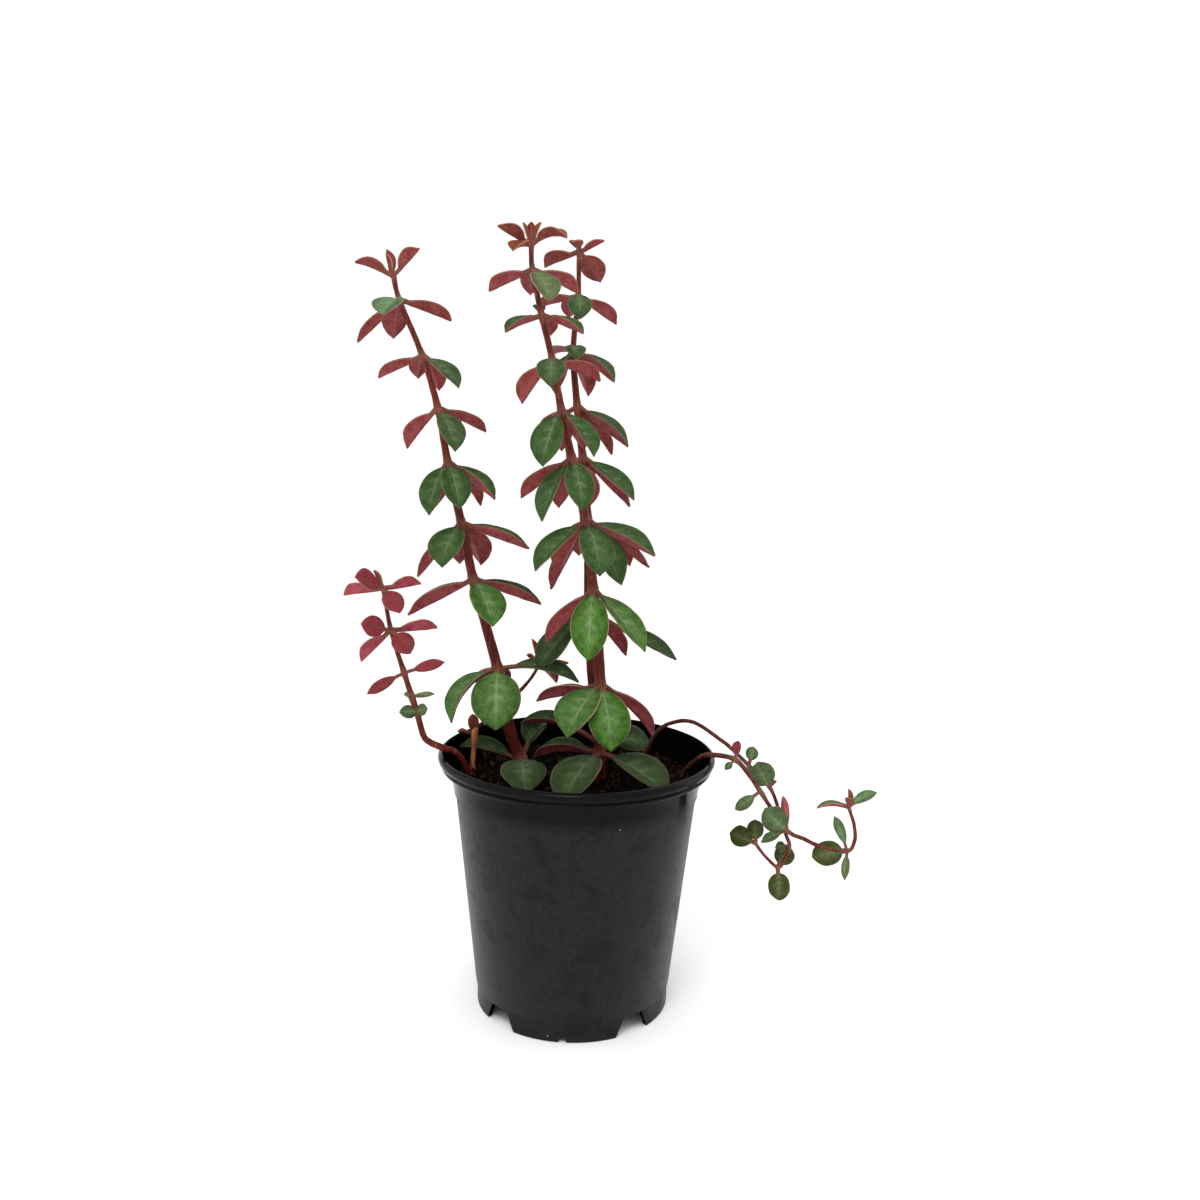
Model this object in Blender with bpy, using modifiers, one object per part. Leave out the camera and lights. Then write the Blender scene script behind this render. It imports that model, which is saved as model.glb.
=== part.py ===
"""Potted peperomia: a red-stemmed succulent in a round black nursery pot.

Units are metres, +Z is up and -Y is the front. Lengths are written in millimetres, times MM.
Everything is built round the pot's axis, standing on z = 0, and then moved by POT_PLACE, so
that the origin is at the bottom centre of the box round the whole plant.
Each stem is a route of points with a radius at each point. Each ring of leaves, a whorl, sits
on a route point: a collar round the stem, joined to its leaves.
"""

import math
from collections import namedtuple

import bmesh
import bpy
from mathutils import Matrix, Vector

MM = 0.001
GAP = 0.3  # clearance between pieces that touch
POT_PLACE = -13.0  # the pot's axis along X: the trailing stems reach further right than left

# Pot
POT_HEIGHT = 101.5
RIM_RADIUS = 53.5
LIP_WIDTH = 3.4
COLLAR_TOP_RADIUS = 48.9
COLLAR_DEPTH = 16.0  # from the rim down to the faint line round the pot
WALL_TOP_RADIUS = 46.5
WALL_FOOT_RADIUS = 38.2
WALL_THICKNESS = 1.2
BASE_PLATE_UNDERSIDE = 8.0
FOOT_RING_RADIUS = 37.7
FOOT_RING_THICKNESS = 1.8
POT_STEPS = 40

# Drain notches in the foot ring, in degrees from +X
NOTCH_CENTRES = (-47 - 90, 38 - 90, -47 + 90, 38 + 90)
NOTCH_FOOT_WIDTH = 17.5
NOTCH_TOP_WIDTH = 8.5
NOTCH_HEIGHT = 7.5
SMALL_NOTCH_CENTRES = (-95, -5, 85, 175)
SMALL_NOTCH_WIDTH = 4.0
SMALL_NOTCH_HEIGHT = 2.0
BELOW_FOOT = 2.0  # how far a notch's cutter reaches below the foot
NOTCH_CUTTER_DEPTH = 10.0
DRAIN_HOLE_RADIUS = 3.2
DRAIN_HOLE_CIRCLE = 31.5  # one hole behind each large notch

# Soil
SOIL_TOP = 91.0
SOIL_EDGE_DROP = 1.2
SOIL_STEPS = 32
POCKET_CLEARANCE = 0.9  # round a stem, in the soil
POCKET_ABOVE = 3.0  # how far a pocket's cutter reaches above the soil
PIN_SIDES = 12

# Leaves
LEAF_THICKNESS = 1.0
LEAF_CUP = 22.0  # degrees that each half is folded up from the midrib
LEAF_STALK = 3.0
STALK_HALF_WIDTH = 0.6
TIP_HALF_WIDTH = 0.3
WIDEST_EARLY = 0.8  # below 1, the blade is widest before its middle
FULLNESS = 0.8  # below 1, the outline is rounder than a sine wave
BLADE_STATIONS = (0.0, 0.3, 0.68, 1.0)
COLLAR_RADIUS = 0.5  # of the swelling round a node
COLLAR_SIDES = 8

# Colours as sRGB hex values
POT_BLACK = "2e302e"
SOIL_BROWN = "1d1611"
STEM_RED = "7a3a30"
TRAILING_RED = "8a4a45"
STUB_ORANGE = "b4703f"
LEAF_GREEN = "56733f"
LEAF_GREY_GREEN = "5d7056"
LEAF_RED = "75322f"
LEAF_YOUNG = "8a4433"

Leaf = namedtuple("Leaf", "turn tilt reach width bend roll stalk")


def leaf(turn, tilt, reach, width, bend=35, roll=0, stalk=LEAF_STALK):
    """One leaf: the turn from +X and the tilt above level of the line from the stem's middle to
    its tip, in degrees, that line's length and the blade's width in millimetres, the droop from
    stalk to tip and the roll about its own length in degrees, and the stalk's length."""
    return Leaf(turn, tilt, reach, width, bend, roll, stalk)


# Routes, in millimetres: x, y, z and the stem's radius there
STEMS = {
    "stem_left": (
        (-21, 10, 82, 2.6),
        (-22.3, 9, 94.5, 2.5),
        (-27, 9, 108, 2.3),
        (-31.5, 8, 131, 2.1),
        (-36, 7, 148, 1.9),
        (-41, 6, 166.5, 1.75),
        (-45.5, 5, 188, 1.6),
        (-50.5, 3, 211, 1.4),
        (-54, 1.5, 231, 1.25),
        (-59.5, 0, 250, 1.1),
        (-67.5, -2, 269.5, 0.95),
        (-69.5, -3, 278, 0.8),
        (-70.5, -3, 282, 0.35),
    ),
    "stem_middle": (
        (9, -1, 82, 2.3),
        (9, -2, 92.5, 2.2),
        (8.8, -2.4, 101, 2.15),
        (8.5, -3, 128, 2.0),
        (7, -4.5, 147, 1.9),
        (5, -6, 165, 1.8),
        (1.5, -8, 191, 1.7),
        (-4, -10, 214, 1.6),
        (-8, -12, 231.5, 1.35),
        (-11.5, -13, 249, 1.2),
        (-15.5, -14, 264.5, 1.1),
        (-19, -15, 280, 0.9),
        (-19.5, -15, 288.5, 0.75),
        (-19.5, -15, 293, 0.35),
    ),
    "stem_right": (
        (10, 6, 82, 2.1),
        (9.5, 6.5, 92.5, 2.0),
        (9.2, 7, 102, 2.0),
        (5.5, 9, 127, 1.9),
        (3.5, 12, 154, 1.8),
        (3, 14, 174, 1.7),
        (2.5, 15, 189, 1.6),
        (0, 18, 213, 1.5),
        (-2.5, 20, 232.5, 1.4),
        (-4.5, 22, 254, 1.15),
        (-3, 23, 274.5, 1.0),
        (-3, 24, 291, 0.8),
        (-2.5, 24, 295, 0.35),
    ),
    "shoot_left": (
        (-39, 2, 83, 1.3),
        (-42, 0, 92, 1.3),
        (-46, -4.5, 100.5, 1.3),
        (-50.5, -8.5, 103.8, 1.3),
        (-56, -8, 106, 1.25),
        (-58.5, -8, 109, 1.2),
        (-61, -7, 117.5, 1.15),
        (-63, -6, 123, 1.1),
        (-66, -5, 132, 1.0),
        (-71, -4, 148, 0.85),
        (-74, -4, 164, 0.7),
        (-75.5, -4, 169, 0.35),
    ),
    "trailing_upper": (
        (22, 27, 84, 1.0),
        (28, 27, 93, 1.0),
        (32.5, 27, 101.5, 1.0),
        (38.5, 26, 106, 1.0),
        (47, 22, 107.5, 0.95),
        (57.5, 12, 103, 0.95),
        (62, 8, 100, 0.9),
        (67.5, 4, 95.5, 0.9),
        (75.5, 0, 88, 0.9),
        (79.5, -1, 79, 0.85),
        (82.5, -2, 69.5, 0.85),
        (84, -3, 65, 0.8),
        (82, -4, 59.5, 0.8),
        (79.5, -5, 57, 0.8),
        (74, -6, 62, 0.75),
        (70, -7, 67.5, 0.7),
        (69.5, -7, 69, 0.35),
    ),
    "trailing_lower": (
        (39.5, 8, 83, 1.2),
        (42.5, 7, 91, 1.2),
        (46, -2, 98.5, 1.2),
        (48.5, -8, 102.5, 1.2),
        (53, -10, 103.5, 1.15),
        (60, -12, 102.5, 1.1),
        (64.5, -13, 98, 1.05),
        (70, -13, 90.5, 1.05),
        (73.5, -12, 85, 1.0),
        (81, -11, 74.5, 1.0),
        (88, -11, 71, 0.95),
        (95, -11, 68, 0.95),
        (105, -10, 66, 0.9),
        (108, -9, 70, 0.85),
        (107.5, -9, 76, 0.8),
        (105, -9, 83.5, 0.75),
        (104.5, -9, 87, 0.35),
    ),
    "back_shoot": (
        (-36, 21, 84, 0.9),
        (-38, 21.5, 93, 0.9),
        (-41.5, 21, 101.5, 0.85),
        (-38, 21.5, 106, 0.8),
        (-30, 23, 112.5, 0.75),
        (-22.5, 26, 119.5, 0.7),
        (-18.5, 27, 124.5, 0.65),
        (-16, 27, 129.5, 0.6),
        (-15.7, 27, 131, 0.3),
    ),
    "cut_stub": (
        (-40, 9, 84, 1.0),
        (-41, 8, 92, 1.0),
        (-40.5, 6.5, 100, 0.95),
        (-40, 5.5, 106, 1.3),
        (-39.5, 5.5, 108, 0.8),
    ),
}

# Each whorl: its stem, the number of its route point, and its leaves
WHORLS = {
    "whorl_left_1": ("stem_left", 11, (
        leaf(-140, 19, 15, 5), leaf(-45, 44, 15, 6), leaf(125, 60, 11, 4, stalk=2))),
    "whorl_left_2": ("stem_left", 10, (
        leaf(-103, -22, 17, 10), leaf(170, -43, 22, 9), leaf(108, -40, 20, 8),
        leaf(28, -17, 21, 9))),
    "whorl_left_3": ("stem_left", 9, (
        leaf(160, -23, 20, 9), leaf(-31, -34, 20, 10), leaf(72, -40, 19, 9),
        leaf(105, -30, 16, 8))),
    "whorl_left_4": ("stem_left", 8, (
        leaf(149, -45, 21, 11), leaf(-58, -46, 21, 12), leaf(27, -23, 21, 10),
        leaf(70, -38, 20, 10))),
    "whorl_left_5": ("stem_left", 7, (
        leaf(-114, -54, 23, 11), leaf(-70, -43, 23, 11.5), leaf(-23, -32, 23.5, 11),
        leaf(44, -46, 23, 11), leaf(114, -51, 22, 10))),
    "whorl_left_6": ("stem_left", 6, (
        leaf(-110, -41, 22, 14), leaf(0, -19, 27.2, 11), leaf(178, -51, 26.5, 11),
        leaf(65, -49, 23, 13), leaf(100, -57, 20, 10))),
    "whorl_left_7": ("stem_left", 5, (
        leaf(-177, -29, 28.5, 12), leaf(-62, -39, 24, 14), leaf(0, -19, 27.6, 12),
        leaf(95, -40, 26, 13))),
    "whorl_left_8": ("stem_left", 3, (
        leaf(-88, -45, 27, 19), leaf(-139, -39, 28, 14, bend=75, stalk=5),
        leaf(-6, -7, 32, 12, bend=45, stalk=6), leaf(100, -40, 27, 16))),
    "whorl_middle_1": ("stem_middle", 12, (
        leaf(-118, -14, 13, 7), leaf(-150, 22, 14, 7), leaf(-32, 8, 15, 6, bend=60),
        leaf(136, 60, 9, 2.5, stalk=2), leaf(50, 60, 9.5, 3, stalk=2))),
    "whorl_middle_2": ("stem_middle", 11, (
        leaf(154, -21, 19, 9), leaf(-62, -40, 18, 11), leaf(33, -19, 20, 10),
        leaf(95, -25, 17, 9))),
    "whorl_middle_3": ("stem_middle", 10, (
        leaf(-139, -21, 17.5, 9), leaf(-34, -19, 19, 9), leaf(107, 26, 8, 5, stalk=2),
        leaf(75, -27, 13, 7))),
    "whorl_middle_4": ("stem_middle", 9, (
        leaf(-91, -32, 17, 10), leaf(142, -47, 21, 11), leaf(23, -19, 20, 10),
        leaf(85, -30, 18, 9))),
    "whorl_middle_5": ("stem_middle", 8, (
        leaf(-118, -56, 23.5, 12), leaf(-44, -43, 23, 12), leaf(90, -44, 22, 9),
        leaf(60, -41, 22, 9))),
    "whorl_middle_6": ("stem_middle", 7, (
        leaf(-75, -48, 23, 11), leaf(-132, -55, 26.5, 11), leaf(160, -37, 25, 11),
        leaf(113, -58, 22, 10), leaf(57, -52, 22, 11))),
    "whorl_middle_7": ("stem_middle", 6, (
        leaf(-72, -45, 25, 13), leaf(-149, -39, 27, 12), leaf(-19, -22, 29, 13),
        leaf(133, -55, 25, 12))),
    "whorl_middle_8": ("stem_middle", 5, (
        leaf(-95, -53, 29, 14.5), leaf(167, -49, 27.5, 12), leaf(-31, -42, 30.5, 14))),
    "whorl_middle_9": ("stem_middle", 3, (
        leaf(-121, -32, 28, 19), leaf(-78, -47, 28, 17), leaf(0, -42, 29, 12, bend=55),
        leaf(-172, -15, 26, 12))),
    "whorl_right_1": ("stem_right", 11, (
        leaf(153, -18, 16, 8), leaf(52, -36, 17, 10), leaf(-108, 28, 7, 5, stalk=2),
        leaf(-22, 22, 11, 5, stalk=2))),
    "whorl_right_2": ("stem_right", 10, (
        leaf(-86, -36, 16, 9), leaf(22, -31, 19, 9), leaf(150, -11, 19, 8),
        leaf(105, -29, 15, 8))),
    "whorl_right_3": ("stem_right", 9, (
        leaf(-24, -33, 21, 10), leaf(-85, -13, 16, 8), leaf(-125, -56, 20, 9),
        leaf(54, -58, 20, 10), leaf(120, -3, 16, 9))),
    "whorl_right_4": ("stem_right", 8, (
        leaf(-3, -36, 24.8, 12), leaf(75, -40, 22, 10), leaf(22, -50, 23.5, 10),
        leaf(150, -30, 20, 10))),
    "whorl_right_5": ("stem_right", 7, (
        leaf(-19, -35, 26, 12), leaf(10, -44, 26.5, 11), leaf(90, -40, 24, 11),
        leaf(150, -45, 24, 11))),
    "whorl_right_6": ("stem_right", 6, (
        leaf(170, -49, 31.7, 13), leaf(35, -44, 25, 12), leaf(5, -36, 30.3, 11),
        leaf(-17, -60, 28, 13), leaf(100, -40, 25, 12))),
    "whorl_right_7": ("stem_right", 4, (
        leaf(160, -53, 32, 14, stalk=8), leaf(25, -48, 25, 13),
        leaf(-8, -27, 39, 12, stalk=12), leaf(110, -35, 26, 13))),
    "whorl_shoot_1": ("shoot_left", 10, (
        leaf(165, -11, 16.5, 8, bend=45), leaf(-120, 23, 15, 8),
        leaf(18, 6, 14.5, 7.5, bend=50), leaf(59, -46, 15.5, 8.5))),
    "whorl_shoot_2": ("shoot_left", 9, (
        leaf(-137, 19, 14, 9), leaf(22, 1, 18, 8, bend=50), leaf(169, -45, 16.5, 8),
        leaf(52, -43, 15, 8.5))),
    "whorl_shoot_3": ("shoot_left", 8, (
        leaf(-7, 19, 17, 5.5), leaf(172, -30, 17.5, 5.5))),
    "whorl_shoot_4": ("shoot_left", 7, (
        leaf(-160, 18, 5, 3, stalk=2), leaf(-10, 11, 9, 3.5, stalk=2))),
    "whorl_shoot_5": ("shoot_left", 6, (
        leaf(-136, 7, 8, 5, bend=20, stalk=2), leaf(-36, 29, 6, 4.5, bend=20, stalk=2))),
    "leaves_back_shoot": ("back_shoot", 7, (
        leaf(140, 66, 10.5, 4, stalk=2), leaf(-170, 38, 6.5, 3.5, stalk=2),
        leaf(10, 0, 12, 3.5), leaf(-30, -38, 11, 6))),
    "leaf_dry_node": ("back_shoot", 2, (
        leaf(125, 74, 8, 4, bend=10, stalk=2), leaf(175, 5, 7, 3, stalk=3))),
    "whorl_left_9": ("stem_left", 1, (
        leaf(-81, -5, 25, 18.5, bend=14, stalk=4), leaf(165, 6, 24, 10, bend=25, stalk=4),
        leaf(46, 42, 18, 14, bend=45, stalk=6))),
    "whorl_middle_10": ("stem_middle", 2, (
        leaf(-112, -18, 29.5, 20), leaf(-44, -15, 33, 16, bend=20, stalk=6),
        leaf(163, -9, 27, 14, bend=30, stalk=4))),
    "whorl_right_8": ("stem_right", 2, (
        leaf(20, -2, 21, 13, bend=25, stalk=4), leaf(164, 9, 33.5, 10, bend=55, stalk=10))),
    "leaves_trailing_upper_1": ("trailing_upper", 7, (
        leaf(70, 55, 7, 5.5, stalk=2), leaf(-100, -30, 5, 3, stalk=2))),
    "leaves_trailing_upper_2": ("trailing_upper", 8, (
        leaf(-140, 50, 12.5, 10, bend=10, roll=-70, stalk=2), leaf(40, 20, 4, 3, stalk=2))),
    "leaves_trailing_upper_3": ("trailing_upper", 11, (
        leaf(150, -45, 6, 4.5, bend=10, stalk=2),)),
    "leaves_trailing_upper_4": ("trailing_upper", 13, (
        leaf(-50, 62, 11, 8.5, bend=10, roll=75, stalk=2),
        leaf(-60, -80, 13.5, 9, bend=10, stalk=2))),
    "leaves_trailing_upper_5": ("trailing_upper", 15, (
        leaf(-170, 18, 12, 9, bend=10, roll=-70, stalk=2),
        leaf(60, 66, 10, 7, bend=10, roll=30, stalk=2))),
    "leaves_trailing_lower_1": ("trailing_lower", 5, (
        leaf(60, 68, 7, 4, stalk=2), leaf(-160, -45, 7, 3, stalk=3))),
    "leaves_trailing_lower_2": ("trailing_lower", 7, (
        leaf(-160, -32, 12, 5, roll=-40, stalk=3),)),
    "leaves_trailing_lower_3": ("trailing_lower", 9, (
        leaf(-145, 50, 13.5, 10.5, bend=10, roll=-70, stalk=2), leaf(40, 80, 15, 5, stalk=4),
        leaf(-160, -20, 11.5, 5, stalk=3))),
    "leaves_trailing_lower_4": ("trailing_lower", 12, (
        leaf(-135, -10, 15, 10, bend=15, roll=-50, stalk=2), leaf(130, 60, 14, 4.5, stalk=3),
        leaf(-50, -78, 12.5, 4.5, stalk=3))),
    "leaves_trailing_lower_5": ("trailing_lower", 15, (
        leaf(-175, 0, 12.5, 3.5, bend=40, stalk=2), leaf(15, 22, 12.5, 4.5, stalk=2),
        leaf(-120, 55, 5.5, 2.5, stalk=1.5))),
}
RED_WHORLS = ("whorl_left_1", "whorl_middle_1", "whorl_right_1", "whorl_shoot_1",
              "whorl_shoot_2", "whorl_shoot_3", "leaves_back_shoot", "leaf_dry_node")
GREY_STEMS = ("trailing_upper", "trailing_lower")


def clear_scene():
    for item in list(bpy.data.objects):
        bpy.data.objects.remove(item, do_unlink=True)


def new_collection(name):
    made = bpy.data.collections.new(name)
    bpy.context.scene.collection.children.link(made)
    return made


def linear(channel):
    return channel / 12.92 if channel <= 0.04045 else ((channel + 0.055) / 1.055) ** 2.4


def material(name, hex_colour, roughness):
    made = bpy.data.materials.new(name)
    made.use_nodes = True
    shader = made.node_tree.nodes["Principled BSDF"]
    colour = [linear(int(hex_colour[i:i + 2], 16) / 255) for i in (0, 2, 4)]
    shader.inputs["Base Color"].default_value = (*colour, 1)
    shader.inputs["Roughness"].default_value = roughness
    shader.inputs["Metallic"].default_value = 0
    made.diffuse_color = (*colour, 1)
    return made


def add(name, data, collection, finish=None):
    item = bpy.data.objects.new(name, data)
    collection.objects.link(item)
    if finish:
        data.materials.append(finish)
    return item


def as_cutter(item):
    item.hide_render = True
    item.display_type = "WIRE"
    return item


def boolean(item, other, operation):
    change = item.modifiers.new(other.name, "BOOLEAN")
    change.operation = operation
    change.object = other
    change.solver = "EXACT"


def turned(name, profile, steps, collection, finish):
    """A profile of (radius, height) points, closed on itself, turned about +Z."""
    mesh = bpy.data.meshes.new(name)
    count = len(profile)
    edges = [(i, (i + 1) % count) for i in range(count)]
    mesh.from_pydata([(r * MM, 0, z * MM) for r, z in profile], edges, [])
    item = add(name, mesh, collection, finish)
    screw = item.modifiers.new("turn", "SCREW")
    screw.steps = steps
    screw.render_steps = steps
    screw.use_merge_vertices = True
    screw.merge_threshold = 0.00001
    screw.use_smooth_shade = True
    return item


def wedge_cutter(name, degrees, foot_width, top_width, height):
    """A cutter through the foot ring: as wide at the foot and at the top as the notch is."""
    mesh = bpy.data.meshes.new(name)
    shape = bmesh.new()
    bmesh.ops.create_cube(shape, size=1)
    for corner in shape.verts:
        top = corner.co.z > 0
        width = top_width if top else foot_width
        corner.co = Vector((
            (FOOT_RING_RADIUS + NOTCH_CUTTER_DEPTH * corner.co.x) * MM,
            corner.co.y * width * MM,
            (height if top else -BELOW_FOOT) * MM,
        ))
    shape.to_mesh(mesh)
    shape.free()
    cutter = as_cutter(add(name, mesh, cutters))
    cutter.rotation_euler.z = math.radians(degrees)
    return cutter


def make_pot():
    wall_top = POT_HEIGHT - COLLAR_DEPTH
    inner_top = WALL_TOP_RADIUS - WALL_THICKNESS
    inner_foot = WALL_FOOT_RADIUS - WALL_THICKNESS
    plate_top = BASE_PLATE_UNDERSIDE + WALL_THICKNESS
    lip_inner = RIM_RADIUS - LIP_WIDTH
    profile = [
        (lip_inner + 0.9, POT_HEIGHT),
        (RIM_RADIUS - 0.9, POT_HEIGHT),
        (RIM_RADIUS, POT_HEIGHT - 0.9),
        (RIM_RADIUS, POT_HEIGHT - 3.2),
        (RIM_RADIUS - 1.6, POT_HEIGHT - 4.2),
        (RIM_RADIUS - 1.3, POT_HEIGHT - 5.4),
        (COLLAR_TOP_RADIUS, POT_HEIGHT - 7.2),
        (WALL_TOP_RADIUS + 0.6, wall_top + 0.7),
        (WALL_TOP_RADIUS, wall_top),
        (WALL_FOOT_RADIUS, BASE_PLATE_UNDERSIDE + 0.6),
        (FOOT_RING_RADIUS, BASE_PLATE_UNDERSIDE - 0.6),
        (FOOT_RING_RADIUS, 0),
        (FOOT_RING_RADIUS - FOOT_RING_THICKNESS, 0),
        (FOOT_RING_RADIUS - FOOT_RING_THICKNESS, BASE_PLATE_UNDERSIDE),
        (0, BASE_PLATE_UNDERSIDE),
        (0, plate_top),
        (inner_foot, plate_top),
        (inner_top, wall_top),
        (COLLAR_TOP_RADIUS - WALL_THICKNESS, POT_HEIGHT - 7.6),
        (lip_inner, POT_HEIGHT - 3.5),
        (lip_inner, POT_HEIGHT - 0.9),
    ]
    pot = turned("pot", profile, POT_STEPS, pieces, pot_plastic)
    for number, degrees in enumerate(NOTCH_CENTRES, 1):
        boolean(pot, wedge_cutter(f"drain_notch_{number}", degrees, NOTCH_FOOT_WIDTH,
                                  NOTCH_TOP_WIDTH, NOTCH_HEIGHT), "DIFFERENCE")
    for number, degrees in enumerate(SMALL_NOTCH_CENTRES, 1):
        boolean(pot, wedge_cutter(f"small_notch_{number}", degrees, SMALL_NOTCH_WIDTH,
                                  SMALL_NOTCH_WIDTH * 0.6, SMALL_NOTCH_HEIGHT), "DIFFERENCE")
    for number, degrees in enumerate(NOTCH_CENTRES, 1):
        place = Matrix.Rotation(math.radians(degrees), 3, "Z") @ Vector((DRAIN_HOLE_CIRCLE, 0, 0))
        low = place + Vector((0, 0, BASE_PLATE_UNDERSIDE - WALL_THICKNESS))
        high = place + Vector((0, 0, plate_top + WALL_THICKNESS))
        boolean(pot, pin_cutter(f"drain_hole_{number}", low, high, DRAIN_HOLE_RADIUS),
                "DIFFERENCE")
    return pot


def to_collection(item, collection):
    for old in item.users_collection:
        old.objects.unlink(item)
    collection.objects.link(item)


def route_point(name, number):
    return Vector(STEMS[name][number][:3])


def route_direction(name, number):
    route = STEMS[name]
    after = Vector(route[min(number + 1, len(route) - 1)][:3])
    before = Vector(route[max(number - 1, 0)][:3])
    return (after - before).normalized()


def smooth_route(route, pieces_between=2):
    """The route's points and radii with more between them, on a Catmull-Rom curve."""
    points = [Vector(p) for p in route]
    points = [points[0] * 2 - points[1]] + points + [points[-1] * 2 - points[-2]]
    smooth = []
    for a, b, c, d in zip(points, points[1:], points[2:], points[3:]):
        for step in range(pieces_between):
            t = step / pieces_between
            smooth.append(0.5 * (2 * b + (c - a) * t + (2 * a - 5 * b + 4 * c - d) * t ** 2
                                 + (3 * b - a - 3 * c + d) * t ** 3))
    return smooth + [points[-2]]


def stem_curve(name, collection, finish):
    """A stem as a tube along its route."""
    curve = bpy.data.curves.new(name, "CURVE")
    curve.dimensions = "3D"
    curve.bevel_depth = MM
    curve.bevel_resolution = 2
    curve.use_fill_caps = True
    points = smooth_route(STEMS[name])
    spline = curve.splines.new("POLY")
    spline.points.add(len(points) - 1)
    for knot, (x, y, z, radius) in zip(spline.points, points):
        knot.co = (x * MM, y * MM, z * MM, 1)
        knot.radius = radius
    return add(name, curve, collection, finish)


def pin_cutter(name, low, high, radius):
    """A round cutter from one point to another."""
    bpy.ops.mesh.primitive_cylinder_add(
        vertices=PIN_SIDES, radius=radius * MM, depth=(high - low).length * MM,
        location=(low + high) / 2 * MM, rotation=(high - low).to_track_quat("Z", "Y").to_euler())
    cutter = bpy.context.object
    cutter.name = name
    to_collection(cutter, cutters)
    return as_cutter(cutter)


def pocket_cutter(name):
    """A pin along the first stretch of a stem, wider and deeper, that opens the soil for it."""
    foot, next_point = (Vector(p[:3]) for p in STEMS[name][:2])
    along = (next_point - foot).normalized()
    return pin_cutter("pocket_" + name, foot - along * GAP, next_point + along * POCKET_ABOVE,
                      STEMS[name][0][3] + POCKET_CLEARANCE)


def make_soil():
    wall_top = POT_HEIGHT - COLLAR_DEPTH
    inner_top = WALL_TOP_RADIUS - WALL_THICKNESS
    inner_foot = WALL_FOOT_RADIUS - WALL_THICKNESS
    plate_top = BASE_PLATE_UNDERSIDE + WALL_THICKNESS
    flare = (COLLAR_TOP_RADIUS - WALL_TOP_RADIUS) / (COLLAR_DEPTH - 7.2)
    edge = SOIL_TOP - SOIL_EDGE_DROP
    profile = [
        (0, SOIL_TOP),
        (RIM_RADIUS * 0.75, SOIL_TOP),
        (inner_top - GAP + (edge - wall_top) * flare, edge),
        (inner_top - GAP, wall_top),
        (inner_foot - GAP, plate_top + GAP),
        (0, plate_top + GAP),
    ]
    soil = turned("soil", profile, SOIL_STEPS, pieces, peat)
    for name in STEMS:
        boolean(soil, pocket_cutter(name), "DIFFERENCE")
    return soil


def blade_half_width(share, width):
    """Half the blade's width at a share of its length: widest before the middle, pointed tip."""
    if share <= 0:
        return STALK_HALF_WIDTH
    swell = max(math.sin(math.pi * min(share, 1) ** WIDEST_EARLY), 0)
    return max(width / 2 * swell ** FULLNESS, TIP_HALF_WIDTH)


def leaf_sheet(name, node, axis, ring, shape):
    """A leaf: a grid along an arc from the collar to the tip, cupped and then thickened."""
    turn, tilt = math.radians(shape.turn), math.radians(shape.tilt)
    outward = Vector((math.cos(turn), math.sin(turn), 0))
    tip = shape.reach * (outward * math.cos(tilt) + Vector((0, 0, math.sin(tilt))))
    start = (tip - axis * tip.dot(axis)).normalized() * ring
    chord = tip - start
    bend = math.radians(shape.bend)
    length = chord.length * (bend / 2) / math.sin(bend / 2)
    first = math.asin(max(-1, min(1, chord.z / chord.length))) + bend / 2
    flat = Vector((chord.x, chord.y, 0))
    flat = flat.normalized() if flat.length > 0.01 else outward
    side = Vector((0, 0, 1)).cross(flat)
    stations = [0.0] + [shape.stalk / length + (1 - shape.stalk / length) * s
                        for s in BLADE_STATIONS]
    grid = bmesh.new()
    bmesh.ops.create_grid(grid, x_segments=len(stations) - 1, y_segments=2, size=1)
    cup = math.tan(math.radians(LEAF_CUP))
    for vertex in grid.verts:
        station = stations[round((vertex.co.x + 1) / 2 * (len(stations) - 1))]
        across = round(vertex.co.y)
        angle = first - bend * station
        along = length / bend * (math.sin(first) - math.sin(angle))
        rise = length / bend * (math.cos(angle) - math.cos(first))
        upward = Vector((0, 0, 1)) * math.cos(angle) - flat * math.sin(angle)
        blade = (station * length - shape.stalk) / (length - shape.stalk)
        half = blade_half_width(blade, shape.width)
        twist = Matrix.Rotation(math.radians(shape.roll),
                                3, flat * math.cos(angle) + Vector((0, 0, 1)) * math.sin(angle))
        offset = twist @ (side * across * half + upward * abs(across) * half * cup)
        vertex.co = (node + start + flat * along + Vector((0, 0, rise)) + offset) * MM
    mesh = bpy.data.meshes.new(name)
    grid.to_mesh(mesh)
    grid.free()
    item = as_cutter(add(name, mesh, cutters))
    solid = item.modifiers.new("thickness", "SOLIDIFY")
    solid.thickness = LEAF_THICKNESS * MM
    solid.offset = 0
    return item


def make_whorl(name, stem, number, leaves, finish):
    """The swelling round a node, as a ring that clears the stem, with its leaves joined on."""
    radius = STEMS[stem][number][3]
    node = route_point(stem, number)
    axis = route_direction(stem, number)
    ring = (radius + GAP + COLLAR_RADIUS) / math.cos(math.pi / COLLAR_SIDES)
    bpy.ops.mesh.primitive_torus_add(
        major_segments=COLLAR_SIDES, minor_segments=4, major_radius=ring * MM,
        minor_radius=COLLAR_RADIUS * MM, location=node * MM,
        rotation=axis.to_track_quat("Z", "Y").to_euler())
    collar = bpy.context.object
    collar.name = name
    collar.data.name = name
    collar.data.materials.append(finish)
    to_collection(collar, pieces)
    for count, shape in enumerate(leaves, 1):
        boolean(collar, leaf_sheet(f"{name}_leaf_{count}", node, axis, ring, shape),
                "UNION")
    return collar


clear_scene()
pieces = new_collection("potted_peperomia")
cutters = new_collection("cutters")

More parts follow.
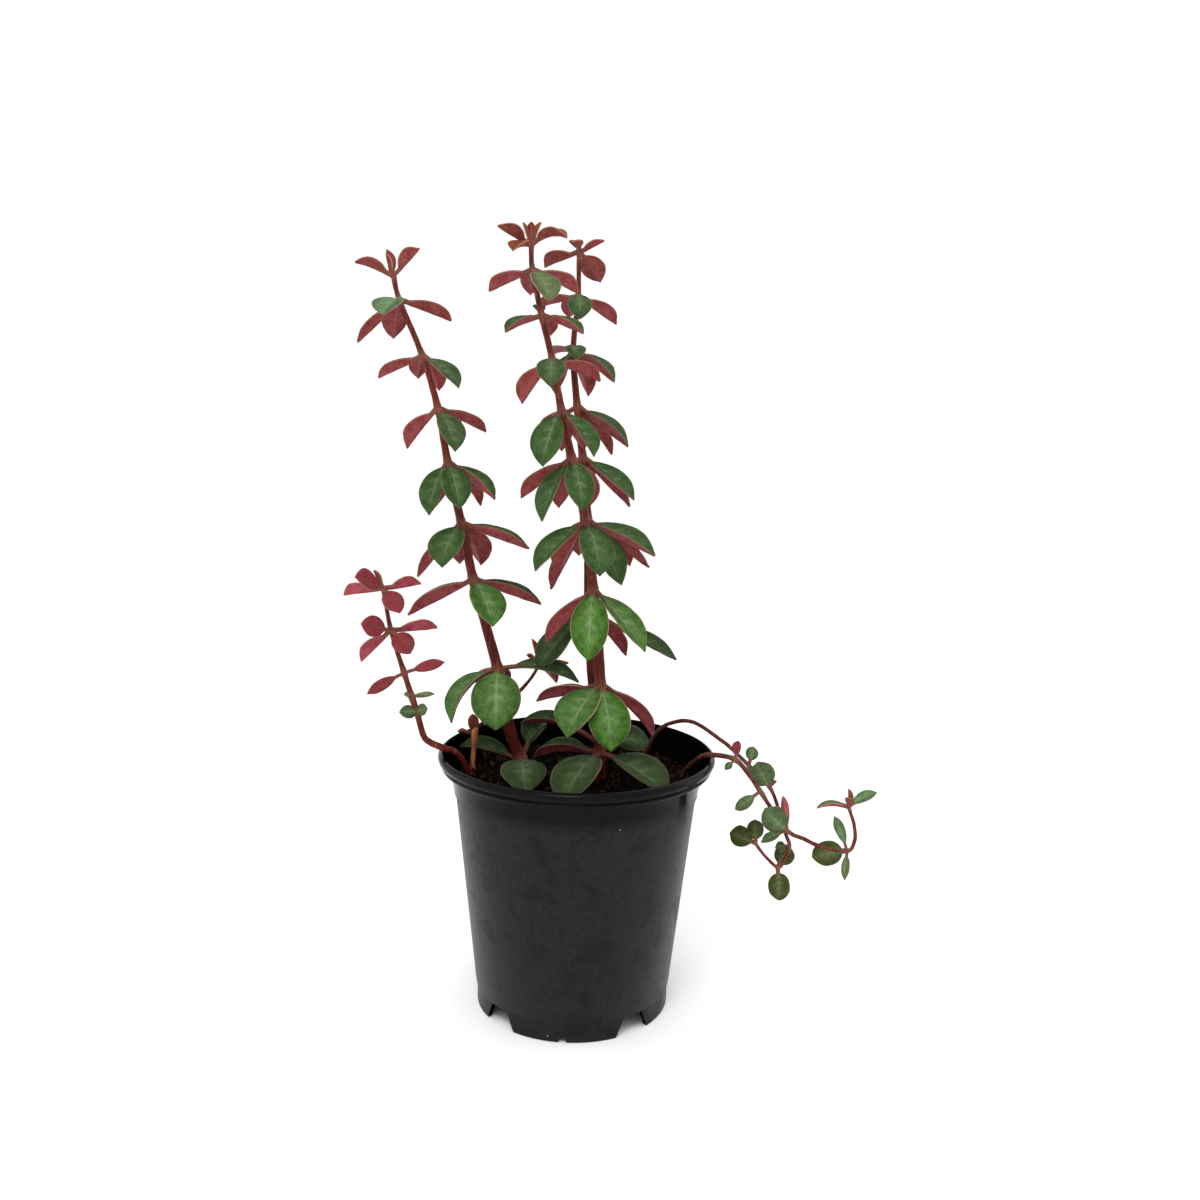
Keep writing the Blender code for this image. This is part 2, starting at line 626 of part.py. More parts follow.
pot_plastic = material("pot_plastic", POT_BLACK, 0.45)
peat = material("peat", SOIL_BROWN, 0.95)
stem_skin = material("stem_skin", STEM_RED, 0.4)
trailing_skin = material("trailing_skin", TRAILING_RED, 0.45)
stub_skin = material("stub_skin", STUB_ORANGE, 0.7)
leaf_green = material("leaf_green", LEAF_GREEN, 0.4)
leaf_grey = material("leaf_grey", LEAF_GREY_GREEN, 0.5)
leaf_red = material("leaf_red", LEAF_RED, 0.45)

make_pot()
make_soil()
for stem_name in STEMS:
    skin = stem_skin
    if stem_name in ("trailing_upper", "trailing_lower", "back_shoot"):
        skin = trailing_skin
    elif stem_name == "cut_stub":
        skin = stub_skin
    stem_curve(stem_name, pieces, skin)
for whorl_name, (stem_name, point_number, whorl_leaves) in WHORLS.items():
    leaf_finish = leaf_green
    if whorl_name in RED_WHORLS:
        leaf_finish = leaf_red
    elif stem_name in GREY_STEMS:
        leaf_finish = leaf_grey
    make_whorl(whorl_name, stem_name, point_number, whorl_leaves, leaf_finish)

placement = add("placement", None, pieces)
placement.location.x = POT_PLACE * MM
for item in [*pieces.objects, *cutters.objects]:
    if item is not placement:
        item.parent = placement
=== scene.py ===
# %% [markdown]
# # A potted peperomia, grown from rules
# This lesson builds a red-stemmed succulent in a black nursery pot, as seen from its front.
# A plant looks free, but it repeats itself: a stem, a ring of leaves, a stretch of stem, a ring
# of leaves. So one Geometry Nodes tree makes every leaf from a few numbers, another makes every
# stem, a third makes the soil, and the pot is a turned profile. The CAD model is loaded first,
# as the frame that every piece has to fit.

# %% Load the frame
import math
from collections import namedtuple

import bmesh
import bpy
from mathutils import Matrix, Vector


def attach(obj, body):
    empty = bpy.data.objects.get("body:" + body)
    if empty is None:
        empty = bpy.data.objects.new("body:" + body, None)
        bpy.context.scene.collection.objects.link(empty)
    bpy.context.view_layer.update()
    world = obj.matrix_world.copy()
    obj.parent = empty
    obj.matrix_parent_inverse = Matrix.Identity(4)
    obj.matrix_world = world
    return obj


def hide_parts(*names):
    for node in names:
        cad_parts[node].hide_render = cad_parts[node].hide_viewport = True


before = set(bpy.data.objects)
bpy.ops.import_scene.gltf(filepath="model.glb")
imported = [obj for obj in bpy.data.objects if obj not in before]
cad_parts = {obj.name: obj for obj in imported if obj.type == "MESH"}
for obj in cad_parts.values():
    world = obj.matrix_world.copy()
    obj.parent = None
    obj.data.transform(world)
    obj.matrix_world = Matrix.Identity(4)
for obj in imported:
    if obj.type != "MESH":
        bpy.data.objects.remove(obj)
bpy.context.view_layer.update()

# %% [markdown]
# Everything is measured in millimetres from the middle of the pot's foot, because that is how
# a pot is measured. The frame's origin is 13 mm to the right of it, under the middle of the
# whole plant, so each mesh is moved by POT_PLACE once, at the end of its making.

# %% Units and small helpers
MM = 0.001
POT_PLACE = Vector((-13.0, 0.0, 0.0))


def in_frame(point):
    """A point measured from the pot's foot in millimetres, as the frame's metres."""
    return (Vector(point) + POT_PLACE) * MM


def colour(hex_code):
    """An sRGB hex code as the linear colour that Blender's sockets hold."""
    channels = [int(hex_code[i:i + 2], 16) / 255 for i in (0, 2, 4)]
    return (*[c / 12.92 if c <= 0.04045 else ((c + 0.055) / 1.055) ** 2.4 for c in channels], 1)


def add_object(name, data):
    made = bpy.data.objects.new(name, data)
    bpy.context.scene.collection.objects.link(made)
    return made


# %% [markdown]
# Both kinds of tree, of shader nodes and of geometry nodes, are built with one helper. It adds
# a node, sets it up, and fills its inputs in order: a number or colour is set on the socket,
# and a node or a socket is wired to it. None leaves an input alone.

# %% One helper for every node
def node(tree, kind, *values, **settings):
    made = tree.nodes.new(kind)
    for name, value in settings.items():
        setattr(made, name, value)
    for socket, value in zip([s for s in made.inputs if s.enabled], values):
        if isinstance(value, bpy.types.Node):
            value = next(s for s in value.outputs if s.enabled)
        if isinstance(value, bpy.types.NodeSocket):
            tree.links.new(value, socket)
        elif value is not None:
            socket.default_value = value
    return made


def geometry_tree(name, **inputs):
    """An empty Geometry Nodes tree with named inputs, and its input and output nodes."""
    tree = bpy.data.node_groups.new(name, "GeometryNodeTree")
    tree.interface.new_socket("Geometry", in_out="INPUT", socket_type="NodeSocketGeometry")
    tree.interface.new_socket("Geometry", in_out="OUTPUT", socket_type="NodeSocketGeometry")
    for label, value in inputs.items():
        kind = {int: "Int", float: "Float"}.get(type(value), "Material")
        socket = tree.interface.new_socket(label.replace("_", " "), in_out="INPUT",
                                           socket_type="NodeSocket" + kind)
        if kind != "Material":
            socket.default_value = value
    return tree, tree.nodes.new("NodeGroupInput"), tree.nodes.new("NodeGroupOutput")


def grown(name, start, tree, keep, **inputs):
    """The plain mesh that a tree makes of a starting object, which is then removed. It keeps
    only the attributes that its finish reads."""
    change = start.modifiers.new(tree.name, "NODES")
    change.node_group = tree
    for item in tree.interface.items_tree:
        label = item.name.replace(" ", "_")
        if item.item_type == "SOCKET" and item.in_out == "INPUT" and label in inputs:
            change[item.identifier] = inputs[label]
    bpy.context.view_layer.update()
    seen = start.evaluated_get(bpy.context.evaluated_depsgraph_get())
    mesh = bpy.data.meshes.new_from_object(seen)
    mesh.name = name
    mesh.materials.clear()
    mesh.materials.append(inputs["Skin"])
    for label in [a.name for a in mesh.attributes if not (a.is_required or a.is_internal)]:
        if label not in (*keep, "sharp_face"):
            mesh.attributes.remove(mesh.attributes[label])
    start.modifiers.remove(change)
    bpy.data.objects.remove(start, do_unlink=True)
    return add_object(name, mesh)


MADE = []


def finish_piece(piece, slot, *nodes):
    """Puts a finished piece on the plant's one body, in place of its CAD nodes."""
    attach(piece, "root")
    if nodes:
        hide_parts(*nodes)
    MADE.append(piece)
    triangles = sum(len(face.vertices) - 2 for face in piece.data.polygons)
    print(f"{piece.name}: {triangles} triangles")


# %% [markdown]
# The camera comes next, because every later choice is judged through it. Its place and angle
# were worked out from the pot's rim and foot in the photograph: 45 cm in front of the pot, a
# little above the plant's middle, looking down by about ten degrees.

# %% Camera
CAMERA_PLACE = (0.0, -450.0, 236.1)
CAMERA_TURN = math.radians(0.97)
CAMERA_TILT = math.radians(9.51)
CAMERA_ROLL = math.radians(1.32)
SENSOR_WIDTH = 36.0
LENS = 36.03

forward = Vector((math.sin(CAMERA_TURN) * math.cos(CAMERA_TILT),
                  math.cos(CAMERA_TURN) * math.cos(CAMERA_TILT), -math.sin(CAMERA_TILT)))
level_right = Vector((math.cos(CAMERA_TURN), -math.sin(CAMERA_TURN), 0))
level_up = level_right.cross(forward)
right = level_right * math.cos(CAMERA_ROLL) + level_up * math.sin(CAMERA_ROLL)
up = level_up * math.cos(CAMERA_ROLL) - level_right * math.sin(CAMERA_ROLL)

camera_data = bpy.data.cameras.new("camera")
camera_data.lens = LENS
camera_data.sensor_width = SENSOR_WIDTH
camera_data.clip_start = 0.01
camera = add_object("camera", camera_data)
turn = Matrix((right, up, -forward)).transposed().to_4x4()
camera.matrix_world = Matrix.Translation(in_frame(CAMERA_PLACE)) @ turn
bpy.context.scene.camera = camera
print("camera at", [round(c, 3) for c in camera.location])

# %% [markdown]
# The light is that of a plain product photograph: a pale floor, a pale world all round, a large
# soft light from the front left and above, and two tall soft lights at the sides. On black
# plastic the side lights matter most: they draw the pale edges that make the pot look round. A
# thin strip light adds the glints on the pot's lip.

# %% Floor, world and lights
scene = bpy.context.scene
scene.view_settings.view_transform = "Standard"

bpy.ops.mesh.primitive_plane_add(size=6)
floor = bpy.context.object
floor.name = "floor"
floor_paint = bpy.data.materials.new("pale_floor_paint")
floor_paint.use_nodes = True
floor_shader = floor_paint.node_tree.nodes["Principled BSDF"]
floor_shader.inputs["Base Color"].default_value = (0.95, 0.95, 0.95, 1)
floor_shader.inputs["Roughness"].default_value = 0.9
floor_shader.inputs["Specular IOR Level"].default_value = 0.1
floor.data.materials.append(floor_paint)

world = bpy.data.worlds.new("pale_room")
scene.world = world
world.use_nodes = True
world.node_tree.nodes["Background"].inputs["Color"].default_value = (1, 1, 1, 1)
world.node_tree.nodes["Background"].inputs["Strength"].default_value = 1.08

LIGHTS = (  # name, place and aim in millimetres, width, height, watts
    ("key_light", (-150, -700, 900), (0, 0, 150), 0.6, 0.4, 3.2),
    ("strip_light", (-120, -600, 800), (0, 0, 100), 0.3, 0.03, 1.2),
    ("left_light", (-700, 100, 250), (0, 0, 80), 0.3, 0.9, 0.8),
    ("right_light", (700, 150, 250), (0, 0, 80), 0.3, 0.9, 1.0),
)
for name, place, aim, width, height, watts in LIGHTS:
    lamp = bpy.data.lights.new(name, "AREA")
    lamp.shape = "RECTANGLE"
    lamp.size = width
    lamp.size_y = height
    lamp.energy = watts
    holder = add_object(name, lamp)
    direction = Vector(aim) - Vector(place)
    holder.matrix_world = (Matrix.Translation(in_frame(place))
                           @ direction.to_track_quat("-Z", "Y").to_matrix().to_4x4())
print(len(LIGHTS), "lights")

# %% [markdown]
# ## Finishes
# The pot is injection-moulded polypropylene, dyed black. Its wall is a satin dark grey, and
# where it was watered it is stained darker, in patches of a centimetre with ragged edges and in
# thin runs down the wall. The lip is handled most, so it is polished and catches the light. The
# collar and the lip are painted near-black, as painted shade under and on the rolled lip. The
# inside is dull, and painted near-black as painted shade in the pot's hollow. A few mineral
# specks are nearly white.

# %% Small helpers for finishes
def new_material(name, roughness, gloss):
    made = bpy.data.materials.new(name)
    made.use_nodes = True
    shader = made.node_tree.nodes["Principled BSDF"]
    shader.inputs["Roughness"].default_value = roughness
    shader.inputs["Specular IOR Level"].default_value = gloss
    return made, made.node_tree, shader


def mixed(tree, share, below, above):
    """A colour between two others: hex codes, or nodes that mix colours already."""
    ends = [colour(end) if isinstance(end, str) else end.outputs[2] for end in (below, above)]
    return node(tree, "ShaderNodeMix", share, *ends, data_type="RGBA")


def ramp(tree, number, start, end, low, high):
    """A number that eases from low to high while another runs from start to end."""
    return node(tree, "ShaderNodeMapRange", number, start, end, low, high,
                interpolation_type="SMOOTHSTEP")


def combined(tree, operation, *terms):
    return node(tree, "ShaderNodeMath", *terms, operation=operation)


def add_relief(tree, shader, heights, strength, distance):
    """Small dents and bumps, as deep as the distance in metres."""
    relief = node(tree, "ShaderNodeBump", strength, distance)
    tree.links.new(heights.outputs[0], relief.inputs["Height"])
    tree.links.new(relief.outputs[0], shader.inputs["Normal"])


# %% Black polypropylene with water stains
def moulded_polypropylene():
    made, tree, shader = new_material("moulded_black_polypropylene", 0.4, 0.13)
    place = node(tree, "ShaderNodeMapping", node(tree, "ShaderNodeTexCoord").outputs["Object"],
                 -POT_PLACE * MM)
    height = node(tree, "ShaderNodeSeparateXYZ", place).outputs["Z"]
    patches = node(tree, "ShaderNodeTexNoise", place, 1 / 0.012, 6.0, 0.68)
    fine = node(tree, "ShaderNodeTexNoise", place, 1 / 0.0025, 4.0, 0.7)
    stretched = node(tree, "ShaderNodeMapping", place, None, None, (1.0, 1.0, 0.15))
    runs = node(tree, "ShaderNodeTexNoise", stretched, 1 / 0.007, 3.0, 0.5)
    stained = combined(tree, "MAXIMUM", ramp(tree, patches, 0.53, 0.6, 0.0, 0.6),
                       ramp(tree, runs, 0.58, 0.7, 0.0, 0.35))
    skin = mixed(tree, ramp(tree, fine, 0.35, 0.65, 0.0, 1.0), "141613", "1b1d1a")
    skin = mixed(tree, stained, skin, "0a0b09")
    grit = node(tree, "ShaderNodeTexVoronoi", place, 1 / 0.008, feature="F1")
    kind = node(tree, "ShaderNodeSeparateColor", grit.outputs["Color"])
    specks = combined(tree, "MULTIPLY", ramp(tree, grit, 0.05, 0.03, 0.0, 1.0),
                      ramp(tree, kind, 0.86, 0.88, 0.0, 0.8))
    skin = mixed(tree, specks, skin, "c9c8bf")
    # the collar and the lip are painted near-black: painted shade under and on the rolled lip
    skin = mixed(tree, ramp(tree, height, 0.083, 0.09, 0.0, 0.75), skin, "040404")

    # the inside faces the pot's axis; the lip is above the collar and faces away from it
    flat = node(tree, "ShaderNodeVectorMath", place, (1.0, 1.0, 0.0), operation="MULTIPLY")
    outward = node(tree, "ShaderNodeVectorMath", flat, node(
        tree, "ShaderNodeNewGeometry").outputs["Normal"], operation="DOT_PRODUCT")
    outside = ramp(tree, outward.outputs["Value"], -0.001, 0.01, 0.0, 1.0)
    # the inside is painted near-black: painted shade in the pot's hollow
    skin = mixed(tree, outside, "050505", skin)
    tree.links.new(skin.outputs[2], shader.inputs["Base Color"])
    shine = combined(tree, "MULTIPLY", outside, ramp(tree, height, 0.085, 0.09, 0.12, 0.07))
    tree.links.new(shine.outputs[0], shader.inputs["Specular IOR Level"])
    satin = combined(tree, "ADD", combined(tree, "MULTIPLY", stained, 0.12),
                     ramp(tree, height, 0.085, 0.09, 0.38, 0.14))
    tree.links.new(satin.outputs[0], shader.inputs["Roughness"])
    add_relief(tree, shader, fine, 0.3, 0.0002)
    return made


pot_plastic = moulded_polypropylene()
print(pot_plastic.name, "is ready")

# %% [markdown]
# Peat is nearly black when moist. Each crumb of it gets its own brown from noise at 2 mm, and a
# few are pale, as bits of bark and fibre are. It has almost no gloss.

# %% Moist peat, bark and stones
def moist_peat():
    made, tree, shader = new_material("moist_peat", 0.85, 0.02)
    place = node(tree, "ShaderNodeTexCoord").outputs["Object"]
    crumbs = node(tree, "ShaderNodeTexNoise", place, 1 / 0.002, 4.0, 0.65)
    skin = mixed(tree, ramp(tree, crumbs, 0.35, 0.7, 0.0, 1.0), "040303", "120c09")
    kind = node(tree, "ShaderNodeAttribute", attribute_name="bark").outputs["Fac"]
    skin = mixed(tree, kind, skin, "4a3426")
    tree.links.new(skin.outputs[2], shader.inputs["Base Color"])
    add_relief(tree, shader, crumbs, 0.8, 0.001)
    return made


peat = moist_peat()
print(peat.name, "is ready")

# %% [markdown]
# The stem is green tissue under a red skin. The skin is darkest near the soil, and each node
# has a paler, swollen band where the leaf stalks join. The stem's mesh carries two numbers for
# this: "rise", from 0 at the soil to 1 at the tip, and "joint", which is 1 on a node.

# %% Red stem skin
def stem_skin(name, low, high, joint_tone):
    made, tree, shader = new_material(name, 0.42, 0.1)
    place = node(tree, "ShaderNodeTexCoord").outputs["Object"]
    rise = node(tree, "ShaderNodeAttribute", attribute_name="rise").outputs["Fac"]
    joint = node(tree, "ShaderNodeAttribute", attribute_name="joint").outputs["Fac"]
    drawn_out = node(tree, "ShaderNodeMapping", place, None, None, (1.0, 1.0, 0.15))
    streaks = node(tree, "ShaderNodeTexNoise", drawn_out, 1 / 0.001, 4.0, 0.65)
    skin = mixed(tree, rise, low, high)
    skin = mixed(tree, ramp(tree, streaks, 0.45, 0.62, 0.0, 0.6), skin, "2a0e0a")
    skin = mixed(tree, ramp(tree, streaks, 0.42, 0.3, 0.0, 0.4), skin, "a06a54")
    skin = mixed(tree, combined(tree, "MULTIPLY", joint, 0.55), skin, joint_tone)
    tree.links.new(skin.outputs[2], shader.inputs["Base Color"])
    add_relief(tree, shader, streaks, 0.35, 0.0003)
    return made


upright_skin = stem_skin("red_stem_skin", "561a12", "642a1e", "825040")
trailing_skin = stem_skin("trailing_stem_skin", "4a2a22", "6c3028", "806050")
dry_skin = stem_skin("dry_stem_skin", "b8774a", "a8643a", "d8b890")
print("three stem skins are ready")

# %% [markdown]
# A peperomia leaf is fleshy, with a waxy skin. Its face is green, darkest towards the margins,
# with a pale midrib that feathers out into side veins. Its margin is a thin pale line, and its
# underside is burgundy. Young leaves are red on both sides. The leaf's mesh carries the numbers
# that tell where a point is: "across" is -1 and 1 at the margins, "blade" runs from the stalk
# to the tip, and "face" is 1 on the face and -1 on the underside. Four more are one per leaf:
# "red", "grey", "shade" and "pink".

# %% Waxy leaf skin
def waxy_leaf():
    made, tree, shader = new_material("waxy_leaf", 0.48, 0.07)
    value = {name: node(tree, "ShaderNodeAttribute", attribute_name=name).outputs["Fac"]
             for name in ("across", "blade", "face", "red", "grey", "shade", "pink")}
    place = node(tree, "ShaderNodeTexCoord").outputs["Object"]
    side = combined(tree, "ABSOLUTE", value["across"])
    cells = node(tree, "ShaderNodeTexNoise", place, 1 / 0.003, 5.0, 0.7)
    grain = node(tree, "ShaderNodeTexNoise", place, 1 / 0.0009, 3.0, 0.6)
    mottle = ramp(tree, cells, 0.36, 0.64, 0.0, 1.0)

    # the midrib, the side veins and the pale feathering between them
    fade = ramp(tree, value["blade"], 0.45, 1.0, 1.0, 0.15)
    lean = combined(tree, "MULTIPLY", side, 0.3)
    phase = combined(tree, "SUBTRACT", value["blade"], lean)
    wave = combined(tree, "SINE", combined(tree, "MULTIPLY", phase, 30.0))
    veins = ramp(tree, wave, -0.2, 1.0, 0.45, 1.0)
    feather = combined(tree, "MULTIPLY", ramp(tree, side, 0.6, 0.02, 0.0, 0.62), veins)
    feather = combined(tree, "MULTIPLY", feather, ramp(tree, grain, 0.3, 0.65, 0.4, 1.0))
    rib = ramp(tree, side, 0.11, 0.0, 0.0, 0.6)
    lines = combined(tree, "MULTIPLY", combined(tree, "MAXIMUM", rib, feather), fade)
    lines = combined(tree, "MULTIPLY", lines, ramp(tree, value["shade"], 0.0, 1.0, 1.0, 0.5))

    # the face: green or grey-green, darker towards the margins, and the pale lines over it
    green = mixed(tree, mottle, "305018", "466e26")
    grey = mixed(tree, mottle, "48603f", "5e7a52")
    face = mixed(tree, value["grey"], green, grey)
    dark = combined(tree, "MAXIMUM", combined(tree, "MULTIPLY", value["shade"], 0.85),
                    ramp(tree, side, 0.35, 0.9, 0.0, 0.3))
    face = mixed(tree, dark, face, "142010")
    face = mixed(tree, lines, face, "88a070")

    # young leaves are rusty or crimson on the face too
    blush = combined(tree, "MULTIPLY", value["red"], ramp(tree, cells, 0.3, 0.6, 0.8, 1.0))
    rust = mixed(tree, value["pink"], mixed(tree, mottle, "702c1e", "823a28"),
                 mixed(tree, mottle, "70262e", "82323a"))
    face = mixed(tree, blush, face, rust)

    # the underside, with its own paler midrib
    back = mixed(tree, value["pink"], mixed(tree, mottle, "6c2e28", "80403a"),
                 mixed(tree, mottle, "88363e", "9c4c52"))
    speckle = combined(tree, "MULTIPLY", rib, 0.6)
    speckle = combined(tree, "MAXIMUM", speckle, ramp(tree, grain, 0.5, 0.75, 0.0, 0.3))
    back = mixed(tree, speckle, back, "b07a70")
    facing = ramp(tree, value["face"], -0.6, 0.2, 0.0, 1.0)
    skin = mixed(tree, facing, back, face)

    # the margin, and the stalk below the blade
    edge = combined(tree, "MULTIPLY", ramp(tree, side, 0.93, 0.99, 0.0, 0.75),
                    ramp(tree, value["shade"], 0.0, 1.0, 1.0, 0.3))
    skin = mixed(tree, edge, skin, "9c8068")
    stalk = ramp(tree, value["blade"], 0.05, 0.0, 0.0, 0.9)
    skin = mixed(tree, stalk, skin, "74463a")
    tree.links.new(skin.outputs[2], shader.inputs["Base Color"])
    add_relief(tree, shader, combined(tree, "SUBTRACT", cells, lines), 0.3, 0.0004)
    return made


leaf_skin = waxy_leaf()
print(leaf_skin.name, "is ready")

# %% [markdown]
# ## The pot
# The pot is a thin-walled cup with a rolled lip, a groove and a second bead under it, a sloping
# collar, a straight wall and a foot ring. A turned profile gives all of this, as the mould did:
# the outline is drawn once, with its round parts as arcs, and a Screw modifier turns it.

# %% The pot's outline
LIP_RADIUS = 1.7
LIP_CENTRE = (51.8, 99.8)
BEAD_RADIUS = 0.9
BEAD_CENTRE = (51.3, 96.6)
WALL = 1.2
POT_TURN_STEPS = 192


def arc(centre, radius, first, last, steps=8):
    """Points of an arc in the outline's plane, from one angle to another in degrees."""
    turns = [math.radians(first + (last - first) * k / steps) for k in range(steps + 1)]
    return [(centre[0] + radius * math.cos(a), centre[1] + radius * math.sin(a)) for a in turns]


outline = [
    *arc(LIP_CENTRE, LIP_RADIUS, 150, -20, 14),
    (53.0, 98.2),
    (51.7, 97.8),
    *arc(BEAD_CENTRE, BEAD_RADIUS, 60, -60, 6),
    (50.6, 95.3),
    (49.2, 94.6),
    (48.8, 93.6),
    (47.2, 86.6),
    (47.2, 86.0),
    (46.6, 85.6),
    (38.35, 9.0),
    (37.9, 8.2),
    (37.75, 7.6),
    (37.7, 0.5),
    (37.3, 0.0),
    (36.3, 0.0),
    (35.9, 0.4),
    (35.9, 7.6),
    (35.5, 8.0),
    (0, 8.0),
    (0, 8.0 + WALL),
    (36.4, 8.0 + WALL),
    (37.1, 8.6 + WALL),
    (45.3, 85.5),
    (47.6, 93.8),
    (49.9, 97.0),
    (50.1, 98.6),
]
print(len(outline), "points in the pot's outline")

# %% [markdown]
# The foot ring has four wide notches, a quarter turn apart, and a small one between each pair.
# They are cut with wedges, wider at the foot than at the top. A hole behind each wide notch
# lets water out of the pot.

# %% Turn the outline and cut the notches
WIDE_NOTCHES = (-137, -52, 43, 128)
SMALL_NOTCHES = (-95, -5, 85, 175)
DRAIN_HOLE_PLACE = 31.5
DRAIN_HOLE_RADIUS = 3.2
NOTCH_DEPTH = 10.0


def cut(target, cutter):
    """Takes one shape out of another for good, and removes the cutter."""
    change = target.modifiers.new("cut", "BOOLEAN")
    change.operation = "DIFFERENCE"
    change.solver = "EXACT"
    change.object = cutter
    bpy.context.view_layer.update()
    seen = target.evaluated_get(bpy.context.evaluated_depsgraph_get())
    mesh = bpy.data.meshes.new_from_object(seen)
    target.modifiers.remove(change)
    target.data = mesh
    bpy.data.objects.remove(cutter, do_unlink=True)


def wedge(degrees, foot_width, top_width, height):
    """A notch's cutter: a block through the foot ring, narrowing upwards."""
    shape = bmesh.new()
    bmesh.ops.create_cube(shape, size=1)
    spin = Matrix.Rotation(math.radians(degrees), 3, "Z")
    for corner in shape.verts:
        top = corner.co.z > 0
        place = Vector((37.0 + corner.co.x * NOTCH_DEPTH,
                        corner.co.y * (top_width if top else foot_width),
                        height if top else -2.0))
        corner.co = in_frame(spin @ place)
    mesh = bpy.data.meshes.new("notch")
    shape.to_mesh(mesh)
    shape.free()
    return add_object("notch", mesh)


profile = bpy.data.meshes.new("nursery_pot")
profile.from_pydata([(r * MM, 0, z * MM) for r, z in outline],
                    [(i, (i + 1) % len(outline)) for i in range(len(outline))], [])
pot = add_object("nursery_pot", profile)
screw = pot.modifiers.new("turn", "SCREW")
screw.steps = screw.render_steps = POT_TURN_STEPS
screw.use_merge_vertices = True
screw.merge_threshold = 0.00001
bpy.context.view_layer.update()
turned = bpy.data.meshes.new_from_object(pot.evaluated_get(
    bpy.context.evaluated_depsgraph_get()))
pot.modifiers.clear()
turned.transform(Matrix.Translation(POT_PLACE * MM))
pot.data = turned
for degrees in WIDE_NOTCHES:
    cut(pot, wedge(degrees, 17.5, 8.5, 7.5))
    spot = Matrix.Rotation(math.radians(degrees), 3, "Z") @ Vector((DRAIN_HOLE_PLACE, 0, 8.5))
    bpy.ops.mesh.primitive_cylinder_add(vertices=32, radius=DRAIN_HOLE_RADIUS * MM,
                                        depth=4 * MM, location=in_frame(spot))
    cut(pot, bpy.context.object)
for degrees in SMALL_NOTCHES:
    cut(pot, wedge(degrees, 4.0, 2.4, 2.0))
pot.data.name = "nursery_pot"
pot.data.shade_smooth()
pot.data.set_sharp_from_angle(angle=math.radians(35))
pot.data.materials.clear()
pot.data.materials.append(pot_plastic)
finish_piece(pot, "pot_plastic", "pot")

# %% [markdown]
# ## The soil
# The peat fills the pot to 10 mm below the rim. Its surface is a rule: a disc, lifted and sunk
# by noise, with crumbs strewn over it. So Geometry Nodes make it. The tree takes a cylinder
# with many rings, leans its side to the pot's wall, roughens its top, and strews two kinds of
# bits on it: round crumbs and flat chips of bark. A fixed seed keeps them the same each time.

# %% The soil's tree
SOIL_TOP = 90.6
SOIL_FOOT = 9.6
SOIL_RADIUS = 46.5
LEAN = ((0.0, 36.6 / SOIL_RADIUS), (0.937, 45.1 / SOIL_RADIUS), (1.0, 1.0))

soil_tree, soil_in, soil_out = geometry_tree(
    "bed_of_peat", Depth=(SOIL_TOP - SOIL_FOOT) * MM, Top_radius=SOIL_RADIUS * MM,
    Roughness=0.0028, Crumbs=260000.0,
    Chips=9000.0, Skin=None)
t = soil_tree
bed = node(t, "GeometryNodeMeshCylinder", 128, 10, 44, soil_in.outputs["Top radius"],
           soil_in.outputs["Depth"], fill_type="NGON")
place = node(t, "GeometryNodeInputPosition")
spread = node(t, "ShaderNodeSeparateXYZ", place)
share = node(t, "ShaderNodeMath", node(t, "ShaderNodeMath", spread.outputs["Z"],
             soil_in.outputs["Depth"], operation="DIVIDE"), 0.5, operation="ADD")
lean = node(t, "ShaderNodeFloatCurve", None, share)
bends = lean.mapping.curves[0].points
for point, (x, y) in zip((bends[0], bends[1], bends.new(0.5, 0.5)), LEAN):
    point.location = (x, y)
    point.handle_type = "VECTOR"
lean.mapping.update()
leaned = node(t, "ShaderNodeCombineXYZ",
              node(t, "ShaderNodeMath", spread.outputs["X"], lean, operation="MULTIPLY"),
              node(t, "ShaderNodeMath", spread.outputs["Y"], lean, operation="MULTIPLY"),
              node(t, "ShaderNodeMath", share, soil_in.outputs["Depth"], operation="MULTIPLY"))
bed = node(t, "GeometryNodeSetPosition", bed, None, leaned)
top = node(t, "ShaderNodeMath", soil_in.outputs["Depth"], 0.999, operation="MULTIPLY")
is_top = node(t, "FunctionNodeCompare", node(t, "ShaderNodeSeparateXYZ", place).outputs["Z"],
              top, operation="GREATER_THAN", data_type="FLOAT")
clods = node(t, "ShaderNodeTexNoise", place, 1 / 0.007, 4.0, 0.6)
lift = node(t, "ShaderNodeMath", node(t, "ShaderNodeMath", clods, 0.5, operation="SUBTRACT"),
            soil_in.outputs["Roughness"], operation="MULTIPLY")
lift = node(t, "ShaderNodeMath", lift, 2.5, operation="MULTIPLY")
bed = node(t, "GeometryNodeSetPosition", bed, is_top, None,
           node(t, "ShaderNodeCombineXYZ", 0.0, 0.0, lift))
bed = node(t, "GeometryNodeStoreNamedAttribute", bed, None, "bark", 0.0)
upward = node(t, "ShaderNodeSeparateXYZ", node(t, "GeometryNodeInputNormal"))
is_up = node(t, "FunctionNodeCompare", upward.outputs["Z"], 0.4, operation="GREATER_THAN",
             data_type="FLOAT")
heaps = [bed]
